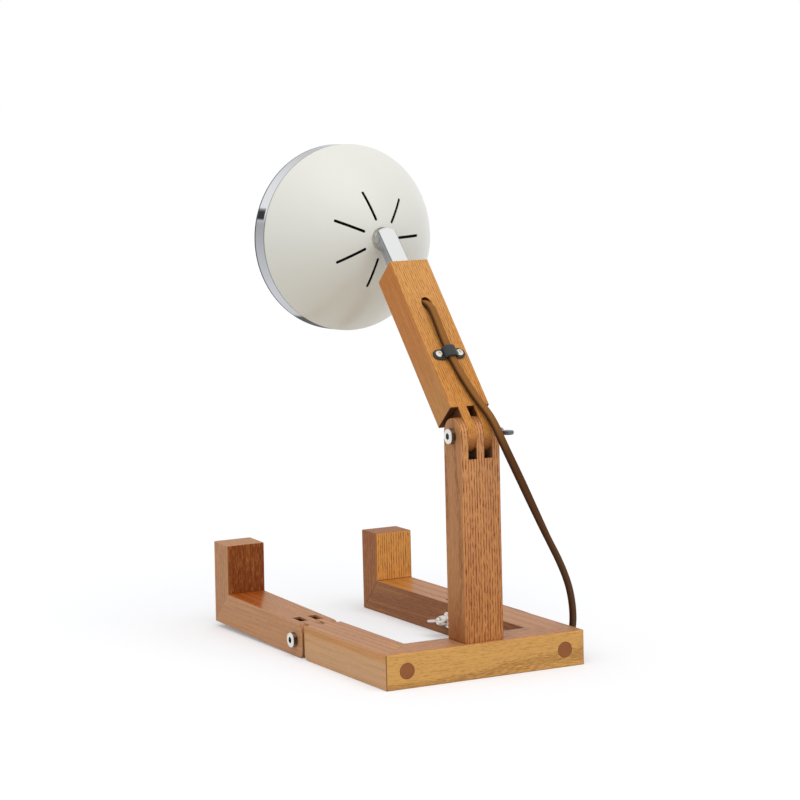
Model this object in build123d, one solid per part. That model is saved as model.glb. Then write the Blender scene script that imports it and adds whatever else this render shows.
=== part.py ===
from build123d import *
import math
import os

# Desk lamp in the form of a seated robot.
#
# A mitred wooden frame forms the hips and thighs, two hinged shins with upright feet form the
# legs, a post forms the body, and a leaning arm carries an enamelled shade on a tilting carrier.
#
# Millimetres, +Z up, the feet point along -Y and the robot's left is +X. The origin is on the
# floor, in the middle of the rear rail's underside, straight below the post and the neck pivot.

# ---- driving dimensions: timber ----
stock_width = 32.0
stock_thick = 26.0
edge_round = 0.9
frame_width = 165.4
outer_corner_round = {"left": 1.5, "right": 2.0}
knee_reach = 133.5  # from the post's axis forward to the knee pivot
shin_length = 145.5  # from the knee pivot to the toe's front face
shin_lift = {"left": 1.6, "right": 0.0}  # degrees that each shin is drawn raised about its knee
foot_height = 65.0
neck_height = 176.5
arm_length = 151.2  # from the neck pivot to the arm's top end
arm_lean = 41.4  # degrees forward of upright

# ---- driving dimensions: knuckle joints ----
finger_thick = 6.0
slot_wide = (stock_width - 3 * finger_thick) / 2
tongue_play = 0.15  # on each side of a tongue
shoulder_reach = 16.4  # from a pivot to the shoulder that faces the knuckle
shin_top_round = 9.0
shin_bottom_round = 6.0
rail_end_round = 5.0
bolt_dia = 6.0
pivot_play = 0.06
bolt_head_dia = 11.5
bolt_head_high = 3.8
hex_key = 4.6
hex_deep = 2.2
head_play = 0.1
washer_dia = 12.5
washer_thick = 1.2
nut_hub_dia = 9.6
nut_hub_high = 7.0
nut_play = 0.05
nut_base_high = 1.5
nut_taper = 1.0
wing_reach = 11.8
wing_rise = 13.0
wing_thick = 2.2
wing_round = 3.9
wing_foot = 0.8  # from the nut's seat to the wings' lower edge
bolt_end_proud = 2.0
wing_angles = {"neck": 90.0, "left": 60.0, "right": 60.0}  # turn of each wing nut about its bolt

# ---- driving dimensions: fixings of the frame and post ----
dowel_dia = 12.0
dowel_long = 45.0
dowel_inset = 16.9  # from the frame's outer face to the dowel's middle
post_screw_dia = 5.0
post_screw_head_dia = 10.0
post_screw_long = 62.0
post_screw_sunk = 1.5  # depth of the head below the rail's underside
post_screw_pitch = 19.0
post_pin_dia = 8.0
post_pin_long = 24.0

# ---- driving dimensions: neck bracket and tilting carrier ----
bracket_lean = 44.0
bracket_wide = 15.1
bracket_deep = 7.7
bracket_back = 2.9  # the back plate's outer face, behind the arm's axis
bracket_sheet = 1.5
bracket_root = 22.0  # length inside the arm
bracket_cheek_reach = 37.0
bracket_tip_reach = 40.4
mortise_play = 0.2
mortise_end_play = 2.2  # below the bracket's lower end, for the lead's bend
bracket_screw_dia = 3.0
bracket_screw_head_dia = 5.6
bracket_screw_depth = 15.0  # below the arm's top end
bracket_screw_pitch = 8.6
tilt_reach = 32.9
tilt_offset = 1.7  # in front of the arm's axis
tilt_pin_dia = 3.0
lug_round = 2.8
lug_thick = 3.0
lug_play = 0.25
shade_dip = 1.0  # degrees that the shade looks down at rest
flange_dia = 27.0
flange_thick = 1.6
collar_dia = 14.0
collar_long = 6.5
lead_hole_dia = 5.4
baffle_dia = 80.0  # dark disc behind the vents, clamped by the lock nut
baffle_flat_dia = 18.0
baffle_fall = 8.0  # drop of its cone from the flat middle to the edge
baffle_sheet = 0.6

# ---- driving dimensions: shade ----
shade_dia = 144.2
shade_depth = 59.8  # from the back of the rim to the apex
shade_bow = 0.2933  # straight part of the fall from the apex, per millimetre of radius
shade_curl = 1.029e-4  # part of the fall that grows with the cube of the radius
shade_sheet = 0.8
shade_hole_dia = 18.0
apex_to_pivot = 4.6
slot_count = 7
slot_first_angle = 1.0
slot_inner_radius = 14.6
slot_outer_radius = 37.2
vent_wide = 2.2
band_long = 18.5
band_sheet = 1.0
band_bead_dia = 2.4
skirt_long = 9.0
skirt_play = 0.05

# ---- driving dimensions: lampholder and bulb ----
nipple_dia = 10.0
nipple_bore = 7.0
nipple_long = 15.0
lock_nut_across = 14.0
lock_nut_thick = 2.5
holder_neck_dia = 16.0
holder_dia = 39.0
holder_wall = 2.0
holder_cap_long = 17.0
holder_skirt_long = 26.0
holder_mouth_dia = 35.0
thread_dia = 26.4
thread_play = 0.05
thread_shell_sheet = 0.6
thread_turns = 5
thread_pitch = 3.6
thread_deep = 1.1
tongue_sheet = 0.8
rivet_dia = 3.0
bulb_cap_long = 24.0
bulb_cap_sheet = 0.8
globe_dia = 80.0
globe_wall = 1.0
globe_drop = 54.0  # from the cap's open end to the middle of the globe
globe_neck_dia = 22.4
globe_neck_in_cap = 5.0
globe_blend = 9.0  # radius of the hollow curve between ball and neck
globe_blend_turn = 64.0  # degrees of that curve used to place its middle point

# ---- driving dimensions: cord and what is on it ----
cord_dia = 5.6
cord_thin = 3.8
cable_hole_dia = 8.4
cable_hole_slope = 42.7  # degrees between the hole and the arm's back
cable_hole_drop = 41.5  # from the arm's top end down to the middle of the hole's mouth
lead_dia = 4.2
clip_reach = 62.5
clip_wide = 11.0
clip_sheet = 1.4
clip_play = 0.5
clip_pitch = 17.0
clip_lobe_dia = 11.0
clip_screw_head_dia = 5.6
clip_screw_head_high = 1.8
clip_screw_dia = 2.6
clip_screw_long = 11.0
switch_long = 52.0
switch_wide = 19.0
switch_high = 15.5
switch_split = 7.6
switch_wall = 1.6
switch_entry_play = 0.4
rocker_long = 14.0
rocker_wide = 8.0
rocker_tilt = 8.0
rocker_axle_dia = 1.8
hank_long = 112.0
hank_turns = 3
hank_inner_radius = 11.4
hank_lift = 0.8  # thickness of the tie under the hank
tie_wide = 8.0
tie_play = 0.15
plug_long = 34.0
plug_wide = 35.3
plug_high = 13.6
plug_pin_dia = 4.0
plug_pin_long = 19.0
plug_pin_pitch = 18.6
plug_pin_root = 8.0  # length inside the body

# ---- places worked out from the dimensions above ----
half_width = frame_width / 2
leg_middle = half_width - stock_width / 2
half_thick = stock_thick / 2
neck_pivot = Vector(0, 0, neck_height)
knee_height = half_thick
cable_hole_reach = arm_length - cable_hole_drop
arm_plane = Plane(
    origin=neck_pivot,
    x_dir=(1, 0, 0),
    z_dir=(0, -math.sin(math.radians(arm_lean)), math.cos(math.radians(arm_lean))),
)
arm_top = arm_plane.from_local_coords(Vector(0, 0, arm_length))
bracket_plane = Plane(
    origin=arm_top,
    x_dir=(1, 0, 0),
    z_dir=(0, -math.sin(math.radians(bracket_lean)), math.cos(math.radians(bracket_lean))),
)
tilt_pivot = bracket_plane.from_local_coords(Vector(0, -tilt_offset, tilt_reach))
shade_axis = Vector(0, math.cos(math.radians(shade_dip)), math.sin(math.radians(shade_dip)))
rim_centre = tilt_pivot - shade_axis * (shade_depth + apex_to_pivot)
shade_plane = Plane(origin=rim_centre, x_dir=(1, 0, 0), z_dir=shade_axis)


def box_between(low, high):
    """A box given by two opposite corners."""
    size = [b - a for a, b in zip(low, high)]
    middle = [(a + b) / 2 for a, b in zip(low, high)]
    return Pos(*middle) * Box(*size)


def stick(low, high, along):
    """A planed stick: a box whose four long edges are eased."""
    body = box_between(low, high)
    return fillet(body.edges().filter_by(along), edge_round)


def slab(profile, low_x, high_x):
    """A (y, z) profile carried from low_x to high_x, with the edges of both sides eased."""
    body = extrude(Plane(origin=(low_x, 0, 0), x_dir=(0, 1, 0), z_dir=(1, 0, 0)) * profile, high_x - low_x)
    side_faces = body.faces().filter_by(Axis.X)
    return fillet(side_faces.edges(), edge_round)


def rod(start, end, dia):
    """A round bar from one point to another."""
    start = Vector(*start)
    line = Vector(*end) - start
    return Plane(origin=start, z_dir=line) * extrude(Circle(dia / 2), line.length)


def revolved(points):
    """A solid of revolution about Z from (radius, height) points."""
    outline = make_face(Plane.XZ * Polyline(*points, close=True))
    return revolve(outline, Axis.Z)


# ---- timber ----
def knuckle_slots(reach_past):
    """The two slots between three fingers, cut along +Z from shoulder_reach below the pivot."""
    slots = Part()
    for side in (-1, 1):
        middle = side * (finger_thick + slot_wide) / 2
        slots += box_between(
            (middle - slot_wide / 2, -stock_thick, -shoulder_reach),
            (middle + slot_wide / 2, stock_thick, reach_past),
        )
    return slots


def knuckle_tongues():
    """Two round-ended tongues on the pivot, along X, that reach up to shoulder_reach."""
    tongues = Part()
    for side in (-1, 1):
        middle = side * (finger_thick + slot_wide) / 2
        half = slot_wide / 2 - tongue_play
        outline = Circle(half_thick) + Pos(0, shoulder_reach / 2) * Rectangle(stock_thick, shoulder_reach)
        face = Plane(origin=(middle - half, 0, 0), x_dir=(0, 1, 0), z_dir=(1, 0, 0)) * outline
        tongues += extrude(face, 2 * half)
    return tongues


def pivot_hole(play):
    return Rot(0, 90, 0) * Cylinder(bolt_dia / 2 + play, 2 * stock_width)


def frame_outline():
    """The frame's plan with its two rear corners rounded, as a prism to trim the rails with."""
    prism = box_between(
        (-half_width, -knee_reach - stock_thick, 0), (half_width, stock_width / 2, stock_thick)
    )
    for side, name in ((1, "left"), (-1, "right")):
        corner = prism.edges().filter_by(Axis.Z).group_by(Axis.Y)[-1].sort_by(Axis.X)[0 if side < 0 else -1]
        prism = fillet(corner, outer_corner_round[name])
    return prism


def mitre_wedge(side):
    """The triangle outside a corner's mitre line, on the side rail's side of it."""
    inner = half_width - stock_width
    rear = stock_width / 2
    outline = Polyline(
        (side * inner, -rear),
        (side * half_width, rear),
        (side * half_width * 2, rear),
        (side * half_width * 2, -rear - frame_width),
        (side * inner, -rear - frame_width),
        close=True,
    )
    return extrude(Plane.XY.offset(-1) * make_face(outline), stock_thick + 2)


def corner_dowel(side):
    """The dowel across a mitred corner, driven in from behind along the side rail."""
    rear = Vector(side * (half_width - dowel_inset), stock_width / 2, half_thick)
    return rod(rear, rear - Vector(0, dowel_long, 0), dowel_dia)


def make_rear_rail():
    rear = stock_width / 2
    rail = stick((-half_width, -rear, 0), (half_width, rear, stock_thick), Axis.X) & frame_outline()
    for side in (-1, 1):
        rail -= mitre_wedge(side)
        rail -= corner_dowel(side)
    for fixing in [post_pin(), *post_screws()]:
        rail -= fixing
    return rail


def make_side_rail(side):
    """One thigh: mitred to the rear rail behind, two tongues at the knee in front."""
    shoulder = -knee_reach + shoulder_reach
    rear = stock_width / 2
    low_x, high_x = leg_span(side)
    outline = Polyline((shoulder, 0), (rear, 0), (rear, stock_thick), (shoulder, stock_thick), close=True)
    profile = make_face(outline)
    profile = fillet(profile.vertices().group_by(Axis.X)[0].sort_by(Axis.Y)[0], rail_end_round)
    rail = slab(profile, low_x, high_x) & mitre_wedge(side) & frame_outline()
    tongues = Pos(side * leg_middle, -knee_reach, knee_height) * Rot(-90, 0, 0) * knuckle_tongues()
    rail += tongues
    rail -= Pos(side * leg_middle, -knee_reach, knee_height) * pivot_hole(0)
    return rail - corner_dowel(side)


def toe_mitre():
    """The triangle above the mitre line between shin and foot, seen from the side."""
    toe = -knee_reach - shin_length
    outline = Polyline(
        (toe, 0), (toe + stock_thick, stock_thick), (toe + stock_thick, 2 * foot_height),
        (toe - stock_thick, 2 * foot_height), (toe - stock_thick, 0), close=True,
    )
    face = Plane(origin=(-frame_width, 0, 0), x_dir=(0, 1, 0), z_dir=(1, 0, 0)) * make_face(outline)
    return extrude(face, 2 * frame_width)


def leg_span(side):
    inner, outer = sorted((side * half_width, side * (half_width - stock_width)))
    return inner, outer


def make_shin(side):
    """One shin: three fingers at the knee, mitred to the foot at the toe."""
    low_x, high_x = leg_span(side)
    toe = -knee_reach - shin_length
    heel = -knee_reach + half_thick
    profile = make_face(Polyline((toe, 0), (heel, 0), (heel, stock_thick), (toe, stock_thick), close=True))
    profile = fillet(profile.vertices().group_by(Axis.X)[-1].sort_by(Axis.Y)[0], shin_bottom_round)
    profile = fillet(profile.vertices().sort_by(Axis.X)[-4:].sort_by(Axis.Y)[-1], shin_top_round)
    shin = slab(profile, low_x, high_x) - toe_mitre()
    knee = Pos(side * leg_middle, -knee_reach, knee_height)
    shin -= knee * Rot(-90, 0, 0) * knuckle_slots(2 * stock_thick)
    return shin - knee * pivot_hole(pivot_play)


def make_foot(side):
    low_x, high_x = leg_span(side)
    toe = -knee_reach - shin_length
    foot = stick((low_x, toe, 0), (high_x, toe + stock_thick, foot_height), Axis.Z) & toe_mitre()
    top_edges = foot.faces().sort_by(Axis.Z)[-1].edges()
    return fillet(top_edges, edge_round)


def make_post():
    """The body: a stick on the rear rail with three round-topped fingers round the neck pivot."""
    half = stock_width / 2
    shank_high = neck_height - stock_thick
    profile = Pos(0, stock_thick + shank_high / 2) * Rectangle(stock_thick, shank_high)
    profile += Pos(0, neck_height) * Circle(half_thick)
    post = slab(profile, -half, half)
    post -= Pos(0, 0, neck_height) * knuckle_slots(2 * stock_thick)
    post -= Pos(0, 0, neck_height) * pivot_hole(0)
    for fixing in [post_pin(), *post_screws()]:
        post -= fixing
    return post


def post_screws():
    """Two countersunk wood screws, driven up through the rail into the post's end grain."""
    radius = post_screw_dia / 2
    head = post_screw_head_dia / 2
    screw = revolved([
        (0, post_screw_sunk), (head, post_screw_sunk), (radius, post_screw_sunk + head - radius),
        (radius, post_screw_long - post_screw_dia), (radius / 5, post_screw_long), (0, post_screw_long),
    ])
    return [Pos(side * post_screw_pitch / 2, 0, 0) * screw for side in (-1, 1)]


def post_pin():
    """The dowel in the middle of the joint between rail and post."""
    low = stock_thick - post_pin_long / 2
    return rod((0, 0, low), (0, 0, low + post_pin_long), post_pin_dia)


def make_arm():
    """The neck: a stick with two tongues below, a mortise above and a slanted cable hole."""
    half = stock_width / 2
    arm = stick((-half, -half_thick, shoulder_reach), (half, half_thick, arm_length), Axis.Z)
    top_edges = arm.faces().sort_by(Axis.Z)[-1].edges()
    arm = fillet(top_edges, edge_round)
    arm += knuckle_tongues()
    arm -= pivot_hole(pivot_play)
    arm = arm_plane * arm
    arm -= cable_hole()
    arm -= bracket_mortise()
    for hole in bracket_screws() + clip_screws():
        arm -= hole
    return arm


def cable_hole():
    """The slanted hole from the arm's back up to the mortise, with its mouth countersunk flat."""
    slope = math.radians(cable_hole_slope)
    inward = Vector(0, -math.sin(slope), math.cos(slope))
    mouth = Vector(0, half_thick, cable_hole_reach)
    start = arm_plane.from_local_coords(mouth - inward * stock_thick / 2)
    end = arm_plane.from_local_coords(mouth + inward * (half_thick / math.sin(slope) + 5))
    return rod(start, end, cable_hole_dia)


def bracket_mortise():
    side = bracket_wide / 2 + mortise_play
    front = bracket_back - bracket_deep - mortise_play
    grown = box_between(
        (-side, front, -bracket_root - mortise_end_play), (side, bracket_back + mortise_play, stock_thick)
    )
    return bracket_plane * grown


# ---- bolts, washers and wing nuts, drawn along +X with the timber's outer face at x = 0 ----
def make_bolt():
    """A cylinder-head bolt whose head stands outside x = 0 and whose shank runs along -X."""
    head = Cylinder(bolt_head_dia / 2, bolt_head_high, align=(Align.CENTER, Align.CENTER, Align.MIN))
    head = chamfer(head.edges().sort_by(Axis.Z)[-1], 0.5)
    recess = extrude(RegularPolygon(hex_key / 2, 6, major_radius=False), hex_deep)
    head -= Pos(0, 0, bolt_head_high - hex_deep) * recess
    length = stock_width + washer_thick + nut_hub_high + bolt_end_proud
    shank = Pos(0, 0, -length) * extrude(Circle(bolt_dia / 2), length + head_play)
    shank = chamfer(shank.edges().sort_by(Axis.Z)[0], 0.6)
    return Rot(0, 90, 0) * (Pos(0, 0, head_play) * head + shank)


def make_washer():
    ring = Circle(washer_dia / 2) - Circle(bolt_dia / 2)
    return Rot(0, -90, 0) * Pos(0, 0, stock_width) * extrude(ring, washer_thick)


def make_wing_nut(angle):
    """A cast wing nut: a conical hub and two ears that flare away from the timber."""
    hub_radius = nut_hub_dia / 2
    hub = revolved([
        (0, 0), (hub_radius, 0), (hub_radius, nut_base_high), (hub_radius - nut_taper, nut_hub_high),
        (0, nut_hub_high),
    ])
    out = wing_reach - wing_round
    up = wing_rise - wing_round
    slant = wing_round * math.sin(math.radians(45))
    ears = Part()
    for side in (-1, 1):
        tip = Pos(side * out, up) * Circle(wing_round)
        web = make_face(Polyline(
            (0, wing_foot), (side * hub_radius, wing_foot), (side * (wing_reach - 0.4), up - wing_round / 2),
            (side * (out - slant), up + slant), (0, nut_hub_high - 2 * nut_taper), close=True,
        ))
        plate = Plane(origin=(0, wing_thick / 2, 0), x_dir=(1, 0, 0), z_dir=(0, -1, 0)) * (tip + web)
        ears += extrude(plate, wing_thick)
    nut = hub + ears
    nut -= Cylinder(bolt_dia / 2 + nut_play, 4 * nut_hub_high)
    turned = Rot(0, -90, 0) * Rot(0, 0, angle) * nut
    return Pos(-stock_width - washer_thick - head_play, 0, 0) * turned


def lifted(piece, degrees, pivot):
    """Turns a piece of a shin about its knee, toe upwards."""
    return Pos(*pivot) * Rot(-degrees, 0, 0) * Pos(*[-c for c in pivot]) * piece


def at_joint(piece, side, pivot):
    """Puts a piece drawn for the outer face of a left-hand joint at a pivot, mirrored for the right."""
    if side < 0:
        piece = mirror(piece, Plane.YZ)
    return Pos(side * stock_width / 2, 0, 0) * Pos(*pivot) * piece


# ---- neck bracket, in the bracket's own frame: back plate towards +Y, open towards -Y ----
def make_bracket():
    half = bracket_wide / 2
    front = bracket_back - bracket_deep
    channel = box_between((-half, front, -bracket_root), (half, bracket_back, bracket_cheek_reach))
    channel -= box_between(
        (-half + bracket_sheet, front - 1, -bracket_root - 1),
        (half - bracket_sheet, bracket_back - bracket_sheet, bracket_cheek_reach + 1),
    )
    arch = make_face(
        Polyline((-half, bracket_cheek_reach), (half, bracket_cheek_reach))
        + ThreePointArc((half, bracket_cheek_reach), (0, bracket_tip_reach), (-half, bracket_cheek_reach))
    )
    arch_plane = Plane(origin=(0, bracket_back, 0), x_dir=(1, 0, 0), z_dir=(0, -1, 0))
    channel += extrude(arch_plane * arch, bracket_sheet)
    front_corners = [
        edge for edge in channel.edges().filter_by(Axis.X)
        if abs(edge.center().Y - front) < 0.01 and edge.center().Z > 0
    ]
    channel = fillet(front_corners, 2.5)
    long_edges = channel.edges().filter_by(Axis.Z).group_by(Axis.Y)[-1]
    channel = fillet(long_edges, bracket_sheet * 0.8)
    channel -= Pos(0, -tilt_offset, tilt_reach) * Rot(0, 90, 0) * Cylinder(tilt_pin_dia / 2, bracket_wide * 2)
    channel = bracket_plane * channel
    for screw in bracket_screws():
        channel -= screw
    return channel


def bracket_screws():
    """Two countersunk machine screws from the arm's front face into the bracket's back plate."""
    screws = []
    sunk = (bracket_screw_head_dia - bracket_screw_dia) / 2
    for side in (-1, 1):
        place = Plane(
            origin=arm_plane.from_local_coords(
                Vector(side * bracket_screw_pitch / 2, -half_thick + 0.3, arm_length - bracket_screw_depth)
            ),
            z_dir=arm_plane.y_dir,
        )
        length = half_thick + bracket_back
        screws.append(place * revolved([
            (0, 0), (bracket_screw_head_dia / 2, 0), (bracket_screw_dia / 2, sunk),
            (bracket_screw_dia / 2, length), (0, length),
        ]))
    return screws


def make_tilt_pins():
    """Two shouldered rivets, one through each cheek of the bracket into a lug of the carrier."""
    pins = Part()
    inner_face = bracket_wide / 2 - bracket_sheet - lug_play - lug_thick
    for side in (-1, 1):
        start = Vector(side * inner_face, 0, 0)
        end = Vector(side * bracket_wide / 2, 0, 0)
        pin = rod(start, end, tilt_pin_dia)
        pin += rod(end, end + Vector(side * 0.9, 0, 0), tilt_pin_dia + 1.6)
        pins += Pos(*tilt_pivot) * pin
    return pins


# ---- shade and what it carries, in the shade's frame: Z runs back from the rim to the apex ----
def shade_height(radius):
    """Height of the shade's outer surface above the rim's plane at a radius."""
    return shade_depth - shade_bow * radius - shade_curl * radius ** 3


def shade_profile(inset):
    """The shade's curve from the hole to the rim, moved inwards along its normal by inset."""
    points = []
    rim = shade_dia / 2
    for share in (0, 0.25, 0.5, 0.75, 1):
        radius = shade_hole_dia / 2 + share * (rim - shade_hole_dia / 2)
        slope = shade_bow + 3 * shade_curl * radius ** 2
        length = math.hypot(1, slope)
        points.append((radius - inset * slope / length, shade_height(radius) - inset / length))
    return points


def make_shade():
    outer = shade_profile(0)
    inner = shade_profile(shade_sheet)
    skirt_radius = shade_dia / 2 - band_sheet - skirt_play
    inner_rim = skirt_radius - shade_sheet
    inner[-1] = (inner_rim, inner[-1][1] + (inner[-1][0] - inner_rim) * 0.9)
    outline = Spline(*[Vector(r, 0, h) for r, h in outer])
    rest = Polyline(
        (outer[-1][0], 0, outer[-1][1]), (skirt_radius, 0, 0), (skirt_radius, 0, -skirt_long),
        (inner_rim, 0, -skirt_long),
        (inner[-1][0], 0, inner[-1][1]),
    )
    inside = Spline(*[Vector(r, 0, h) for r, h in reversed(inner)])
    lip = Line(Vector(inner[0][0], 0, inner[0][1]), Vector(outer[0][0], 0, outer[0][1]))
    shell = revolve(make_face([outline, *rest.edges(), inside, lip]), Axis.Z)
    for step in range(slot_count):
        angle = slot_first_angle + step * 360 / slot_count
        cut = box_between(
            (slot_inner_radius, -vent_wide / 2, 0), (slot_outer_radius, vent_wide / 2, 2 * shade_depth)
        )
        ends = cut.edges().filter_by(Axis.Z)
        cut = fillet(ends, vent_wide * 0.42)
        shell -= Rot(0, 0, 180 + angle) * cut
    return shade_plane * shell


def make_band():
    """The plated band round the rim, with a rolled bead along its front edge."""
    outer = shade_dia / 2
    level = -band_long + band_bead_dia / 2
    band = revolved([
        (outer - band_sheet, -skirt_play), (outer, -skirt_play), (outer, level), (outer - band_sheet, level),
    ])
    bead = Plane.XZ * Pos(outer - band_bead_dia / 2, level) * Circle(band_bead_dia / 2)
    return shade_plane * (band + revolve(bead, Axis.Z))


flange_top = shade_height(flange_dia / 2) - shade_sheet * 1.05 - 0.2
flange_low = flange_top - flange_thick
collar_low = flange_low - collar_long
pivot_level = shade_depth + apex_to_pivot


def make_carrier():
    """The turned carrier: a flange inside the shade's crown, a collar in front, two lugs behind."""
    carrier = revolved([
        (0, collar_low), (collar_dia / 2, collar_low), (collar_dia / 2, flange_low),
        (flange_dia / 2, flange_low), (flange_dia / 2, flange_top), (0, flange_top),
    ])
    outer_face = bracket_wide / 2 - bracket_sheet - lug_play
    for side in (-1, 1):
        inner, outer = sorted((side * outer_face, side * (outer_face - lug_thick)))
        lug = box_between((inner, -lug_round, flange_top - 0.1), (outer, lug_round, pivot_level))
        lug += Pos((inner + outer) / 2, 0, pivot_level) * Rot(0, 90, 0) * Cylinder(lug_round, lug_thick)
        carrier += lug
    pin_hole = Rot(0, 90, 0) * Cylinder(tilt_pin_dia / 2 + pivot_play, 2 * bracket_wide)
    carrier -= Pos(0, 0, pivot_level) * pin_hole
    carrier -= Pos(0, 0, collar_low - 1) * extrude(Circle(nipple_dia / 2), collar_long + 1)
    carrier -= Pos(0, 0, collar_low) * extrude(Circle(lead_hole_dia / 2), shade_depth)
    return shade_plane * carrier


nipple_top = flange_low
nipple_low = nipple_top - nipple_long
lock_nut_top = collar_low - baffle_sheet
cap_top = lock_nut_top - lock_nut_thick
cap_low = cap_top - holder_cap_long
mouth_level = cap_low - holder_skirt_long
core_top = cap_low + 6.0
core_low = cap_low - 0.5
shell_top = core_low
shell_long = bulb_cap_long + 1.0
contact_level = core_low - 1.6
bulb_top = contact_level
cap_open = bulb_top - 2.0 - bulb_cap_long


def make_baffle():
    """The shallow cone between the vents and the lampholder, which keeps the bulb's glare in."""
    flat, edge = baffle_flat_dia / 2, baffle_dia / 2
    return shade_plane * revolved([
        (nipple_dia / 2, collar_low), (flat, collar_low), (edge, collar_low - baffle_fall),
        (edge, collar_low - baffle_fall - baffle_sheet), (flat, collar_low - baffle_sheet),
        (nipple_dia / 2, collar_low - baffle_sheet),
    ])


def make_nipple():
    ring = Circle(nipple_dia / 2) - Circle(nipple_bore / 2)
    return shade_plane * Pos(0, 0, nipple_low) * extrude(ring, nipple_long)


def make_lock_nut():
    ring = RegularPolygon(lock_nut_across / 2, 6, major_radius=False) - Circle(nipple_dia / 2)
    return shade_plane * Pos(0, 0, lock_nut_top - lock_nut_thick) * extrude(ring, lock_nut_thick)


def make_holder_cap():
    """The lampholder's domed cap, screwed on the nipple."""
    neck = holder_neck_dia / 2
    outer = holder_dia / 2
    inner = outer - holder_wall
    return shade_plane * revolved([
        (nipple_dia / 2, cap_top), (neck, cap_top), (neck, cap_top - 3), (outer - 5, cap_top - 7),
        (outer - 1, cap_top - 11), (outer, cap_low), (inner, cap_low), (inner - 1, cap_top - 12),
        (inner - 5, cap_top - 9), (neck + 1, cap_top - 7), (nipple_dia / 2, cap_top - 7),
    ])


def make_holder_skirt():
    """The lampholder's outer sleeve: a collar below the cap that steps in to a plain mouth."""
    outer = holder_dia / 2
    mouth = holder_mouth_dia / 2
    inner = outer - holder_wall - 1
    return shade_plane * revolved([
        (outer, cap_low), (outer, cap_low - 7), (mouth + 1, cap_low - 9), (mouth, mouth_level),
        (mouth - holder_wall, mouth_level), (mouth - holder_wall, cap_low - 9), (inner, cap_low - 7),
        (inner, cap_low),
    ])


def make_holder_core():
    """The insulating core that carries the contacts."""
    radius = holder_dia / 2 - holder_wall - 1.2
    core = revolved([
        (0, core_low), (radius, core_low), (radius, cap_low), (radius - 1.5, core_top), (0, core_top)
    ])
    return shade_plane * (core - Pos(0, 0, core_low - 1) * extrude(Circle(rivet_dia / 2), holder_cap_long))


def make_thread_shell():
    inner = thread_dia / 2 + thread_play
    ring = Circle(inner + thread_shell_sheet) - Circle(inner)
    return shade_plane * Pos(0, 0, shell_top - shell_long) * extrude(ring, shell_long)


def make_centre_contact():
    """The sprung tongue that meets the bulb's centre contact, riveted through the core."""
    tongue_top = contact_level + tongue_sheet
    tongue = box_between((-3, -2, contact_level), (3, 2, tongue_top))
    rivet = Pos(0, 0, tongue_top) * extrude(Circle(rivet_dia / 2), core_top - tongue_top - 1)
    return shade_plane * (tongue + rivet)


def make_bulb_cap():
    """The bulb's screw cap with rounded threads, closed at the contact end by an insulating cone."""
    crest = thread_dia / 2
    root = crest - thread_deep
    inner = root - bulb_cap_sheet
    points = [(0, bulb_top - 0.6), (4.5, bulb_top - 0.6), (10.5, bulb_top - 2.4)]
    for turn in range(thread_turns):
        level = bulb_top - 3.7 - turn * thread_pitch
        points += [(crest, level), (crest, level - 1.0), (root, level - 1.8), (root, level - 2.6)]
    points += [(crest - 0.3, cap_open + 2), (crest - 0.3, cap_open), (crest - 0.9, cap_open)]
    points += [(inner, cap_open + 6), (inner, bulb_top - 4), (4, bulb_top - 2.4), (0, bulb_top - 2.4)]
    return shade_plane * revolved(points)


def make_bulb_contact():
    return shade_plane * Pos(0, 0, bulb_top - 0.6) * extrude(Circle(4.2), 0.6)


def make_globe():
    """The opal glass: a sphere that runs into a neck held in the screw cap."""
    middle = cap_open - globe_drop
    neck_top = cap_open + globe_neck_in_cap

    def filled(radius, neck, blend, top):
        """A ball of radius that runs through a blend arc into a stem, up to top."""
        reach = math.sqrt((radius + blend) ** 2 - (neck + blend) ** 2)
        share = radius / (radius + blend)
        touch = (neck + blend) * share, 0, middle + reach * share
        half_turn = math.radians(globe_blend_turn / 2)
        on_blend = neck + blend - blend * math.cos(half_turn), 0, middle + reach - blend * math.sin(half_turn)
        outline = [
            ThreePointArc((0, 0, middle - radius), (radius, 0, middle), touch),
            ThreePointArc(touch, on_blend, (neck, 0, middle + reach)),
            Line((neck, 0, middle + reach), (neck, 0, top)),
            Line((neck, 0, top), (0, 0, top)),
            Line((0, 0, top), (0, 0, middle - radius)),
        ]
        return revolve(make_face(outline), Axis.Z)

    radius, neck = globe_dia / 2, globe_neck_dia / 2
    outside = filled(radius, neck, globe_blend, neck_top)
    inside = filled(radius - globe_wall, neck - globe_wall, globe_blend + globe_wall, neck_top + 1)
    return shade_plane * (outside - inside)


# ---- cord ----
def on_arm(points):
    """Points given as (x, height above the arm's back face, distance from the neck pivot)."""
    return [arm_plane.from_local_coords(Vector(x, half_thick + lift, reach)) for x, lift, reach in points]


# the cord's middle line: out of the hole, under the clip and down the arm's back ...
cord_arm_route = on_arm([
    (0.0, -7.5, cable_hole_reach + 8.1), (0.0, 3.4, cable_hole_reach - 3.7),
    (0.2, 4.5, 93.0), (0.2, 3.3, 78.0), (0.0, 2.95, 62.5), (-1.2, 2.9, 47.0), (-3.5, 2.95, 32.0),
    (-6.2, 3.1, 18.0),
])
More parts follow.
